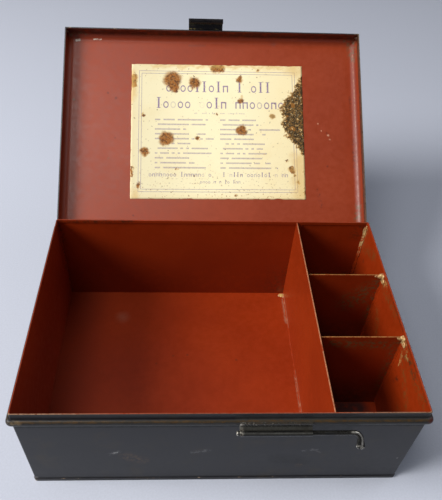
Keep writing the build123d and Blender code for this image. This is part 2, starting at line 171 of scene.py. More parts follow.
class Shader:
    """One material under construction, with places given in millimetres."""

    def __init__(self, name: str) -> None:
        """Starts an empty material.

        Args:
            name: Name of the material.
        """
        self.material = bpy.data.materials.new(name)
        self.material.use_nodes = True
        self.tree = self.material.node_tree
        self.tree.nodes.clear()
        metres = self.node("ShaderNodeTexCoord", {}, {}, "Object")
        self.place = self.vector("SCALE", metres, scale=1 / MM)
        self.x, self.y, self.z = (self.split(self.place, axis) for axis in "XYZ")

    def node(
        self, kind: str, settings: dict[str, str], inputs: dict[str | int, Value],
        output: str | int = 0,
    ) -> Wire:
        """Adds a node.

        Args:
            kind: Node type.
            settings: The node's own settings.
            inputs: Numbers, colours or wires for its inputs.
            output: Name or number of the output to return.

        Returns:
            The chosen output.
        """
        made = self.tree.nodes.new(kind)
        for key, setting in settings.items():
            setattr(made, key, setting)
        for key, value in inputs.items():
            if isinstance(value, Wire):
                self.tree.links.new(value.socket, made.inputs[key])
            else:
                made.inputs[key].default_value = value
        return Wire(self, made.outputs[output])

    def vector(
        self, operation: str, first: Value, second: Value = (0, 0, 0), scale: float = 1.0
    ) -> Wire:
        """Adds a Vector Math node.

        Args:
            operation: Name of the node's operation.
            first: First vector.
            second: Second vector.
            scale: Factor of the SCALE operation.

        Returns:
            The vector, or the number where the operation gives one.
        """
        output = "Value" if operation in ("DISTANCE", "DOT_PRODUCT", "LENGTH") else "Vector"
        inputs = {0: first, "Scale": scale} if operation == "SCALE" else {0: first, 1: second}
        return self.node("ShaderNodeVectorMath", {"operation": operation}, inputs, output)

    def split(self, value: Value, axis: str) -> Wire:
        """One coordinate of a vector."""
        return self.node("ShaderNodeSeparateXYZ", {}, {0: value}, axis)

    def join(self, x: Value, y: Value, z: Value = 0.0) -> Wire:
        """Vector of three values."""
        return self.node("ShaderNodeCombineXYZ", {}, {0: x, 1: y, 2: z})

    def mix(self, first: Value, second: Value, share: Value) -> Wire:
        """Colour between two colours.

        Args:
            first: Colour where share is zero.
            second: Colour where share is one.
            share: How much of the second colour shows.

        Returns:
            The mixed colour.
        """
        colours = [c if isinstance(c, Wire) else (*c, 1.0) for c in (first, second)]
        inputs = {0: share, 6: colours[0], 7: colours[1]}
        return self.node("ShaderNodeMix", {"data_type": "RGBA"}, inputs, 2)

    def chance(self, dimensions: str, **inputs: Value) -> Wire:
        """Random number for each value of its input."""
        return self.node("ShaderNodeTexWhiteNoise", {"noise_dimensions": dimensions}, inputs)

    def span(self, first: Wire, second: Wire) -> Wire:
        """Distance past a fold's line one way and the other, as a rounded edge has it."""
        return self.vector("LENGTH", self.join(first.larger(0.0), second.larger(0.0)))

    def tint(self, colour: Value, shade: Value) -> Wire:
        """Colour with its three channels multiplied by a value."""
        return self.vector("MULTIPLY", colour, self.join(shade, shade, shade))

    def cloud(
        self, size: float, detail: float = 2.0, rough: float = 0.5, place: Value | None = None,
        stretch: Point = EVEN, output: str = "Fac",
    ) -> Wire:
        """Noise of a given size.

        Args:
            size: Size of its patches in millimetres.
            detail: Octaves of finer noise.
            rough: Strength of each finer octave.
            place: Where to read it, if not at the surface's own place.
            stretch: How many times longer its patches are along X, Y and Z.
            output: Fac or Color.

        Returns:
            The noise.
        """
        where = self.place if place is None else place
        if stretch != EVEN:
            where = self.vector("DIVIDE", where, stretch)
        inputs = {"Vector": where, "Scale": 1 / size, "Detail": detail, "Roughness": rough}
        return self.node("ShaderNodeTexNoise", {}, inputs, output)

    def ragged(self, place: Wire, size: float, reach: float) -> Wire:
        """Place moved about by noise, so that a mark's edge isn't a clean circle.

        Args:
            place: Place to move.
            size: Size of the noise in millimetres.
            reach: How far it moves a place, in millimetres.

        Returns:
            The moved place.
        """
        colour = self.cloud(size, 3.0, 0.6, place, output="Color")
        centred = self.vector("SUBTRACT", colour, (0.5, 0.5, 0.5))
        return self.vector("ADD", place, self.vector("SCALE", centred, scale=2 * reach))

    def surface(self, bump: Wire, **values: Value) -> bpy.types.Material:
        """Ends the material in a Principled shader.

        Args:
            bump: Height of the surface's relief in millimetres.
            values: Inputs of the shader, with _ for a space.

        Returns:
            The finished material.
        """
        relief = self.node("ShaderNodeBump", {}, {"Height": bump, "Distance": MM, "Strength": 1.0})
        inputs = {key.replace("_", " "): value for key, value in values.items()}
        shaded = self.node("ShaderNodeBsdfPrincipled", {}, {**inputs, "Normal": relief})
        output = self.tree.nodes.new("ShaderNodeOutputMaterial")
        self.tree.links.new(shaded.socket, output.inputs["Surface"])
        return self.material


Mask = Callable[[Shader], Wire]


def between(value: Wire, low: float, high: float) -> Wire:
    """Sharp mask of one between two places in millimetres."""
    return value.band(low, high, 0.06)


def everywhere(s: Shader) -> Wire:
    """One on every face."""
    return s.z.ease(-2.0, -1.0)


def nowhere(s: Shader) -> Wire:
    """Zero on every face."""
    return s.z.ease(900.0, 901.0)


# Marks


@dataclass(frozen=True)
class Mark:
    """A spot, or a streak if it has an end, at a place in millimetres."""

    start: Point
    size: float
    end: Point | None = None


def marks(*rows: Sequence[float]) -> tuple[Mark, ...]:
    """Marks from rows of a size, a place's X, Y and Z and, for a streak, its end's."""
    return tuple(Mark(tuple(row[1:4]), row[0], tuple(row[4:]) or None) for row in rows)


def flat(axis: str, level: float, *rows: Sequence[float]) -> tuple[Mark, ...]:
    """Marks on a face that stands square to an axis.

    Args:
        axis: X, Y or Z.
        level: Where the face stands on it.
        rows: Size, the place's other two coordinates and, for a streak, its end's.

    Returns:
        The marks.
    """
    slot = "XYZ".index(axis)
    full = []
    for size, *places in rows:
        ends = (list(pair) for pair in zip(places[::2], places[1::2]))
        full.append([size, *(value for end in ends for value in (*end[:slot], level, *end[slot:]))])
    return marks(*full)


def streak(size: float, left: float, right: float, y: float, z: float) -> Mark:
    """Streak along X."""
    return Mark((left, y, z), size, (right, y, z))


@dataclass(frozen=True)
class Stain:
    """Marks of one colour, broken into flecks or only on the sheet's red side if asked."""

    colour: Colour
    strength: float
    marks: tuple[Mark, ...]
    soft: float = 0.5
    broken: bool = False
    inner: bool = False

    def mask(self, shader: Shader, place: Wire) -> Wire:
        """Where the marks are.

        Args:
            shader: Shader that needs them.
            place: Place in the marks' axes.

        Returns:
            The stain's strength inside a mark, zero away from it.
        """
        total = None
        for mark in self.marks:
            nearest = mark.start
            if mark.end is not None:
                along = Vector(mark.end) - Vector(mark.start)
                offset = shader.vector("SUBTRACT", place, mark.start)
                share = shader.vector("DOT_PRODUCT", offset, tuple(along / along.length_squared))
                step = shader.tint(tuple(along), share.larger(0.0).smaller(1.0))
                nearest = shader.vector("ADD", step, mark.start)
            away = shader.vector("DISTANCE", place, nearest)
            spot = away.ease(mark.size * (1 + self.soft), mark.size * (1 - self.soft))
            total = spot if total is None else total.larger(spot)
        return total * self.strength


def lid_place(s: Shader) -> tuple[Wire, Wire]:
    """Place in the lid's own axes.

    Args:
        s: Shader that needs it.

    Returns:
        The Y and Z of the shut lid, from the hinge line.
    """
    back = s.y - HINGE_LINE.y
    up = s.z - HINGE_LINE.z
    along = back * math.cos(OPENING) - up * math.sin(OPENING)
    return along, back * math.sin(OPENING) + up * math.cos(OPENING)


def lid_axes(s: Shader) -> Wire:
    """Place in the lid's own axes, as a vector."""
    return s.join(s.x, *lid_place(s))


def lid_point(x: float, y: float, z: float) -> Vector:
    """Point of the open lid, in millimetres, from its place in the lid's own axes."""
    turned = Matrix.Rotation(-OPENING, 3, "X") @ Vector((0.0, y, z))
    return HINGE_LINE + turned + Vector((x, 0.0, 0.0))


# Finishes


@dataclass(frozen=True)
class Lacquer:
    """Stoved lacquer on tinplate: black on one face of the sheet, red-brown on the other."""

    black: Colour = (0.0205, 0.0200, 0.0225)
    brown_black: Colour = (0.031, 0.026, 0.021)
    red: Colour = (0.285, 0.027, 0.002)
    deep_red: Colour = (0.220, 0.018, 0.001)
    bare: Colour = (0.36, 0.26, 0.16)
    rust: Colour = (0.13, 0.050, 0.018)
    metal: float = 0.6
    specular: float = 0.20
    sheen: float = 0.26
    sheen_rough: float = 0.40
    gloss: float = 0.0
    wobble: float = 0.9

    def coat(
        self, name: str, inside: Mask, worn: Mask, stains: Sequence[Stain] = (),
        place: Mask | None = None,
    ) -> bpy.types.Material:
        """Makes the lacquered material of one sheet.

        Args:
            name: Name of the material.
            inside: One on the red faces, zero on the black ones.
            worn: One where the lacquer is rubbed through.
            stains: Marks on it.
            place: Place in the marks' axes, if they aren't the frame's.

        Returns:
            The material.
        """
        s = Shader(name)
        drift = s.cloud(70.0, 2.0)
        mottle = s.cloud(5.0, 5.0, 0.62)
        red = s.mix(self.deep_red, self.red, drift.ease(0.3, 0.7, 0.35, 1.0))
        red = s.tint(red, mottle.ease(0.25, 0.75, 0.93, 1.06))
        black = s.mix(self.black, self.brown_black, s.cloud(22.0, 4.0, 0.6).ease(0.5, 0.75))
        black = s.tint(black, mottle.ease(0.25, 0.75, 0.8, 1.3))
        side = inside(s)
        rubbed = worn(s)
        colour = s.mix(black, red, side)
        metal = s.tint(self.bare, mottle.ease(0.3, 0.7, 0.75, 1.15))
        metal = s.mix(metal, self.rust, s.cloud(1.8, 3.0, 0.6).ease(0.52, 0.68))
        colour = s.mix(colour, metal, rubbed)
        where = s.ragged(place(s) if place else s.place, 2.5, self.wobble)
        flecks = s.cloud(3.0, 6.0, 0.74).ease(0.44, 0.60)
        patches = mottle.ease(0.30, 0.55, 0.45, 1.0)
        for stain in stains:
            shown = stain.mask(s, where) * (flecks if stain.broken else patches)
            if stain.inner:
                shown = shown * side
            colour = s.mix(colour, stain.colour, shown)
        dullness = mottle.ease(0.25, 0.75, 0.29 - self.gloss, 0.42 - self.gloss)
        height = mottle * 0.010 + s.cloud(0.8, 2.0) * 0.004 - rubbed * 0.03
        return s.surface(
            height + s.cloud(34.0, 1.0) * 0.20, Base_Color=colour,
            Roughness=side * 0.07 + dullness + rubbed * 0.08, Metallic=rubbed * self.metal,
            Specular_IOR_Level=self.specular, Coat_Weight=side * self.sheen,
            Coat_Roughness=self.sheen_rough,
        )


@dataclass(frozen=True)
class Metal:
    """Bare or nearly bare metal, dulled in patches."""

    colour: Colour
    dull: Colour
    rough: float
    dulled: float
    grain: float
    metallic: float = 0.9
    bright: Colour = (0.72, 0.68, 0.60)

    def coat(
        self, name: str, stretch: Point = EVEN, shine: Mask | None = None
    ) -> bpy.types.Material:
        """Makes the material.

        Args:
            name: Name of the material.
            stretch: How many times longer its patches are along X, Y and Z.
            shine: One where the metal shows bright, as a painted highlight and as wear from
                handling.

        Returns:
            The material.
        """
        s = Shader(name)
        patch = s.cloud(self.grain * 3, 4.0, 0.65, stretch=stretch)
        fine = s.cloud(self.grain * 0.35, 3.0, 0.6)
        dull = patch.ease(self.dulled - 0.1, self.dulled + 0.12)
        colour = s.mix(self.colour, self.dull, dull)
        if shine:
            # Bright colour for a painted highlight and for metal worn bright.
            bright_share = shine(s) * fine.ease(0.30, 0.50)
            colour = s.mix(colour, self.bright, bright_share)
            dull = dull - bright_share * dull
        return s.surface(
            patch * 0.05 + fine * 0.02,
            Base_Color=s.tint(colour, fine.ease(0.3, 0.7, 0.8, 1.15)),
            Roughness=self.rough + dull * 0.22 + fine.ease(0.3, 0.7, -0.04, 0.06),
            Metallic=self.metallic - dull * 0.5,
        )


LACQUER = Lacquer()
LONG_LACQUER = Lacquer(bare=(0.46, 0.20, 0.10), rust=(0.30, 0.08, 0.03), metal=0.1)
CROSS_LACQUER = Lacquer(bare=(0.36, 0.16, 0.045), rust=(0.18, 0.05, 0.015), metal=0.2)
FOOT_LACQUER = Lacquer(bare=(0.43, 0.20, 0.12), rust=(0.34, 0.08, 0.03), metal=0.1)
SEAM_LACQUER = Lacquer(bare=(0.62, 0.43, 0.19), rust=(0.33, 0.14, 0.03), metal=0.3)
LID_LACQUER = Lacquer(
    red=(0.285, 0.036, 0.006), deep_red=(0.245, 0.028, 0.004), specular=0.45, sheen=0.0
)
STRIP_LACQUER = Lacquer(
    black=(0.019, 0.018, 0.015), brown_black=(0.034, 0.027, 0.018), bare=(0.50, 0.47, 0.40),
    specular=0.4, gloss=0.10, wobble=0.2,
)
HASP_LACQUER = Lacquer(
    black=(0.005, 0.004, 0.005), brown_black=(0.009, 0.007, 0.006), bare=(0.10, 0.08, 0.05),
    specular=0.22, gloss=0.08,
)
DULL_SOLDER = Metal((0.060, 0.050, 0.034), (0.022, 0.017, 0.012), 0.42, 0.45, 1.6, 0.4)
BARE_SOLDER = Metal((0.66, 0.62, 0.52), (0.20, 0.14, 0.07), 0.28, 0.50, 1.6)
WIRE_STEEL = Metal((0.050, 0.047, 0.040), (0.010, 0.010, 0.010), 0.17, 0.46, 3.4)


# Meshes


def dress(material: bpy.types.Material, *nodes: str) -> None:
    """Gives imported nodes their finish.

    Args:
        material: The finish.
        nodes: Names of the nodes.
    """
    for node in nodes:
        piece = frame["nodes"][node]
        if not piece.material_slots:
            piece.data.materials.append(material)
        for slot in piece.material_slots:
            slot.material = material
        LOG.info("dressed %s with %s", node, material.name)


def make_piece(
    name: str, points: Sequence[Vector], faces: Sequence[tuple[int, ...]],
    material: bpy.types.Material, body: Body, replaced: str,
) -> None:
    """Makes a visible piece from points in millimetres.

    Args:
        name: Name of the piece.
        points: Its corners at rest.
        faces: Its faces, as numbers of points.
        material: Its finish.
        body: Body that it rides on.
        replaced: Node that it stands for.
    """
    mesh = bpy.data.meshes.new(name)
    mesh.from_pydata([point * MM for point in points], [], faces)
    mesh.validate()
    mesh.shade_smooth()
    mesh.materials.append(material)
    piece = bpy.data.objects.new(name, mesh)
    bpy.context.scene.collection.objects.link(piece)
    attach(piece, body.value)
    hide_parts(replaced)
    LOG.info("made %s, %d faces, on %s", name, len(faces), body.value)


@dataclass
class Solid:
    """Points and faces of a piece made of several closed skins."""

    points: list[Vector] = field(default_factory=list)
    faces: list[tuple[int, ...]] = field(default_factory=list)

    def add_rings(self, rings: Sequence[Sequence[Vector]]) -> None:
        """Adds a closed skin over rings of points, with flat ends.

        Args:
            rings: Rings with as many points each, seen anticlockwise from the last ring.
        """
        first = len(self.points)
        count = len(rings[0])
        for ring in rings:
            self.points.extend(ring)
        for row in range(len(rings) - 1):
            low = first + row * count
            for column in range(count):
                after = (column + 1) % count
                face = (column, after, count + after, count + column)
                self.faces.append(tuple(low + index for index in face))
        self.faces.append(tuple(first + index for index in reversed(range(count))))
        last = first + (len(rings) - 1) * count
        self.faces.append(tuple(last + index for index in range(count)))


def wander(place: Vector, size: float, seed: float) -> float:
    """Smooth noise between about -1 and 1.

    Args:
        place: Where to read it.
        size: Size of its lumps in millimetres.
        seed: Number that sets one reading apart from another.

    Returns:
        The noise.
    """
    return 2.0 * noise.noise(place / size + Vector((seed, 7.3 * seed, -3.1 * seed)))


@dataclass
class SolderRun:
    """A run of solder drawn along a corner between two faces."""

    start: Vector
    end: Vector
    first_leg: Vector
    second_leg: Vector
    size: float
    seed: float
    sag: float = 0.30
    lumps: float = 0.35
    step: float = 1.1
    sides: int = 7

    def build(self, solid: Solid) -> None:
        """Adds the run to a piece.

        Args:
            solid: Piece that it belongs to.
        """
        length = (self.end - self.start).length
        count = max(4, round(length / self.step))
        rings = []
        for row in range(count + 1):
            share = row / count
            place = self.start.lerp(self.end, share)
            ends = min(1.0, 0.35 + 4.0 * min(share, 1 - share) * length / (8 * self.size))
            legs = []
            for number, leg in enumerate((self.first_leg, self.second_leg)):
                lump = 1.0 + self.lumps * wander(place, 5.0, self.seed + 11.0 * number)
                lump += 0.5 * self.lumps * wander(place, 1.7, self.seed + 5.0 + number)
                legs.append(leg * (self.size * ends * max(0.3, lump)))
            ring = [place]
            for column in range(self.sides):
                turn = column / (self.sides - 1)
                chord = legs[0] * (1 - turn) + legs[1] * turn
                ring.append(place + chord * (1.0 - self.sag * math.sin(math.pi * turn)))
            rings.append(ring)
        if self.first_leg.cross(self.second_leg).dot(self.end - self.start) < 0:
            rings.reverse()
        solid.add_rings(rings)


@dataclass
class SolderDrop:
    """A drop of solder sitting on a face or in a corner."""

    centre: Vector
    reach: Vector
    across: Vector
    height: Vector
    seed: float
    sides: int = 26
    rows: int = 8

    def build(self, solid: Solid) -> None:
        """Adds the drop to a piece.

        Args:
            solid: Piece that it belongs to.
        """
        rings = []
        for row in range(self.rows + 1):
            lift = math.sin(row / self.rows * math.pi / 2)
            width = max(0.03, math.cos(row / self.rows * math.pi / 2) ** 0.7)
            ring = []
            for column in range(self.sides):
                turn = math.tau * column / self.sides
                spoke = self.reach * math.cos(turn) + self.across * math.sin(turn)
                lump = 1.0 + 0.22 * wander(self.centre + spoke, 2.2, self.seed)
                ring.append(self.centre + spoke * width * lump + self.height * lift)
            rings.append(ring)
        if self.reach.cross(self.across).dot(self.height) < 0:
            rings.reverse()
        solid.add_rings(rings)


# The box


@dataclass
class Wall:
    """Four walls with the bead round them, and the base."""

    half_width: float = 134.0
    depth: float = 183.0
    tin: float = 0.5
    ledge: float = 89.3
    corner: float = 1.5
    floor: float = 2.5

    def inside(self, s: Shader) -> Wire:
        """One on the faces that look into the box.

        Args:
            s: Shader that needs it.

        Returns:
            The mask.
        """
        half_depth = self.depth / 2
        across = abs(s.x) - (self.half_width - self.corner)
        out = s.span(across, abs(s.y - half_depth) - (half_depth - self.corner))
        return out.ease(self.corner - self.tin * 0.44, self.corner - self.tin * 0.56)

    def worn(self, s: Shader) -> Wire:
        """One along the rim, most in front, and in specks on the bead.

        Args:
            s: Shader that needs it.

        Returns:
            The mask.
        """
        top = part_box("body_wall")[1].z / MM
        patches = s.cloud(6.0, 5.0, 0.7)
        rim = s.z.ease(top - 0.16, top - 0.04) * patches.ease(0.30, 0.45)
        ends = abs(s.x).ease(60.0, 120.0, 0.16, 0.6)
        rim = rim * s.y.ease(2.0, 1.0, 0.14, 1.0) * ends
        bead = s.z.band(self.ledge - 2.6, self.ledge + 0.2, 0.4)
        bead = bead * s.y.ease(-1.2, -1.8) * patches.ease(0.62, 0.72) * 0.2
        left = (s.x + 128.0).ease(2.0, -3.0) * s.y.ease(-0.5, -1.5) * patches.ease(0.50, 0.60)
        return rim.larger(bead).larger(left * 0.5)

    def outer_stains(self) -> list[Stain]:
        """Chips, scratches and smudges on the front wall and the bead, with painted shade
        above and under the bead and behind the bolt, and painted lit grey on the bead.

        Returns:
            The stains, from the lowest to the topmost.
        """
        ledge = self.ledge
        # Painted shade in the concave corner where the wall strip meets the ledge.
        seat_shade = Stain(
            (0.008, 0.008, 0.009), 0.35, (streak(1.4, -136, 10, -0.3, ledge + 0.6),), 0.9
        )
        # Painted light: lit grey on the bead's front and on the strip right of the sleeve.
        lit_grey = Stain(
            (0.034, 0.034, 0.031), 0.7,
            (
                streak(1.3, -134, 134, -2.9, ledge - 2.6),
                streak(2.2, 10, 134, -0.3, ledge + 1.2),
            ), 0.7,
        )
        line = Stain(
            (0.038, 0.027, 0.014), 0.85, (streak(0.8, -135, 135, -1.8, ledge - 0.3),)
        )
        rubbed = Stain(
            (0.066, 0.035, 0.012), 0.9,
            flat(
                "Z", ledge - 0.3, (0.7, -135, -1.8, 135, -1.8),
                (0.6, -135.8, 1, -135.8, 180), (0.6, 135.8, 1, 135.8, 180),
            ), broken=True,
        )
        # Painted shadow along the bead's underside and on the wall just below it.
        under = Stain(
            (0.0005, 0.0005, 0.0005), 1,
            (
                streak(0.9, -133, 133, -0.8, ledge - 5.2),
                streak(1.5, -132, 131, 0, ledge - 9.3),
            ),
        )
        # Painted shadow on the wall behind the bolt's rod, also standing for grease there.
        shadow_and_grease = Stain(
            (0.001, 0.001, 0.001), 0.9, flat("Y", 0, (3.4, 58, 75.6, 84, 76.4)), 0.7
        )
        scuffs = Stain(
            (0.16, 0.16, 0.16), 0.65,
            flat(
                "Y", 0, (1.6, -76, 41, -69, 44.5), (1.8, -18, 43, -8, 46),
                (1, 58, 44, 68, 46.5),
            ), 0.9, broken=True,
        )
        smudged = Stain(
            (0.004, 0.004, 0.005), 0.6, flat("Y", 0, (6, 42, 33, 58, 27)), 0.9
        )
        chips = Stain(
            (0.55, 0.52, 0.48), 0.75,
            flat(
                "Y", 0, (0.6, 128.4, 31.9), (0.6, -74, 42, -70.5, 43.5), (1.2, -132.5, 5.6)
            ), 0.8, broken=True,
        )
        brown = Stain(
            (0.13, 0.075, 0.035), 0.6,
            flat("Y", 0, (4.5, -64, 38, -55, 32), (2.2, 58.7, 21.8), (1.4, 97.9, 40.2)),
            0.9, broken=True,
        )
        dull = Stain((0.16, 0.15, 0.14), 0.35, flat("Y", 0, (0.7, 70.6, 41.7, 64, 47)))
        corners = Stain(
            (0.16, 0.12, 0.07), 0.5,
            marks(
                (1.6, -134.6, -1.6, ledge - 0.8, -128, -2.4, ledge - 1.2),
                (1.4, -134, 0, 5), (0.8, 134, 0, 24, 134, 0, 30),
            ), 0.8, broken=True,
        )
        rusted = Stain((0.075, 0.012, 0.008), 0.9, marks((2.8, 135.6, -1.6, ledge - 2.2)), 0.6)
        bead = [seat_shade, lit_grey, line, rubbed, under]
        return [*bead, shadow_and_grease, scuffs, smudged, chips, brown, dull, corners, rusted]

    def inner_stains(self) -> list[Stain]:
        """Painted shade, tarnish and dirt on the walls' red faces.

        Returns:
            The stains, from the lowest to the topmost.
        """
        right, back = self.half_width - self.tin, self.depth - self.tin
        left = -right
        seam = back - 0.1
        # Painted shade low on the back wall and across the left wall.
        wall_shade = Stain(
            (0.12, 0.009, 0.001), 0.5,
            flat("Y", back, (45, -110, 16, 60, 8))
            + flat("X", left, (40, 30, 40, 150, 50)), 0.95,
        )
        # Dark flecks of patina, with a broad patch of painted shade low on the rear compartment's
        # back wall.
        dark = Stain(
            (0.06, 0.020, 0.008), 0.6,
            flat("Y", back, (4.5, 129, 90, 125, 80), (26, 80, 10, 112, 6))
            + flat(
                "X", right, (3, 177, 88), (2, 50, 84, 57, 78), (1.2, 30, 74),
                (1.6, 36, 62),
            ), 0.9, broken=True,
        )
        tarnish = Stain(
            (0.16, 0.060, 0.013), 0.6,
            flat(
                "X", right, (5, 56, 85, 12, 88), (4, 48, 74, 26, 60),
                (4, 117, 84, 82, 89), (4, 112, 60, 96, 40),
                (4, 176, 70, 150, 86), (4, 30, 44, 10, 30),
            ), 0.95, broken=True,
        )
        # Dirt in flecks along the rims and on the right wall, with painted shade down the back-left
        # corner.
        grime_and_corner_shade = Stain(
            (0.030, 0.016, 0.008), 0.75,
            flat("X", left + 0.1, (3.4, seam, 94, seam, 66), (1.2, seam, 60, seam, 4))
            + flat("Y", back, (1.6, -132, 93, -70, 94))
            + flat("X", left, (1, 120, 94, 176, 94))
            + flat(
                "X", right, (1, 8, 92, 60, 93.5), (0.8, 66, 93, 118, 93),
                (2.4, 54, 86, 30, 87), (1.3, 16, 44), (1.5, 48, 60, 52, 52),
                (1.4, 110, 76), (1.6, 168, 62),
            ), 0.95, broken=True,
        )
        gilt = Stain(
            (0.52, 0.34, 0.11), 0.7,
            flat(
                "X", right, (3, 119, 88.5, 115, 90.5), (3, 58, 89, 50, 86),
                (1.4, 56.5, 80, 54, 68), (1.3, 181, 92, 180.8, 70),
            ), 0.8, broken=True,
        )
        return [replace(stain, inner=True) for stain in (wall_shade, dark, tarnish, grime_and_corner_shade, gilt)]

    def floor_stains(self) -> list[Stain]:
        """Shade, spots and smears on the floor, and a nick on the seam.

        Returns:
            The stains, from the lowest to the topmost.
        """
        shadow = Stain(
            (0.10, 0.012, 0.006), 0.35,
            flat("Z", self.floor, (18, -126, 40, -122, 170)), 0.95,
        )
        dark = Stain(
            (0.07, 0.022, 0.010), 0.55,
            flat(
                "Z", self.floor, (0.9, -49, 100.6), (1, -34.5, 108.8), (0.8, -22.2, 109.4),
                (0.9, 20.6, 104.2),
            ),
        )
        smudge = Stain((0.30, 0.14, 0.09), 0.3, flat("Z", self.floor, (5, -82.5, 151.9)), 0.9)
        smear = Stain(
            (0.33, 0.19, 0.12), 0.5,
            flat("Z", self.floor, (1.3, 70, 174, 69.9, 146), (0.7, 70.2, 88, 70.2, 50)),
            0.8,
        )
        # Darkens a strip of floor along the front cross partition's foot.
        damp = Stain(
            (0.018, 0.010, 0.011), 0.9, flat("Z", self.floor, (8, 84, 56, 118, 56)), 0.6
        )
        nick = Stain((0.60, 0.50, 0.36), 0.8, marks((1.1, -133.6, -0.3, 0.8)))
        return [shadow, dark, smudge, smear, damp, nick]

    def base_inside(self, s: Shader) -> Wire:
        """One on the floor of the box.

        Args:
            s: Shader that needs it.

        Returns:
            The mask.
        """
        edge = self.tin / 2
        half = self.half_width - edge
        floor = s.z.ease(self.floor - 0.3, self.floor - 0.2)
        return floor * between(s.x, -half, half) * between(s.y, edge, self.depth - edge)

    def base_worn(self, s: Shader) -> Wire:
        """One in patches along the seam in front."""
        patches = s.cloud(5.0, 5.0, 0.7).ease(0.60, 0.68)
        return s.z.band(2.8, 3.8, 0.5) * s.y.ease(0.0, -0.3) * patches

    def build(self) -> None:
        """Dresses the walls and the base."""
        stains = self.outer_stains() + self.inner_stains()
        dress(LACQUER.coat("wall_lacquer", self.inside, self.worn, stains), "body_wall")
        base = LACQUER.coat("base_lacquer", self.base_inside, self.base_worn, self.floor_stains())
        dress(base, "base_pan")


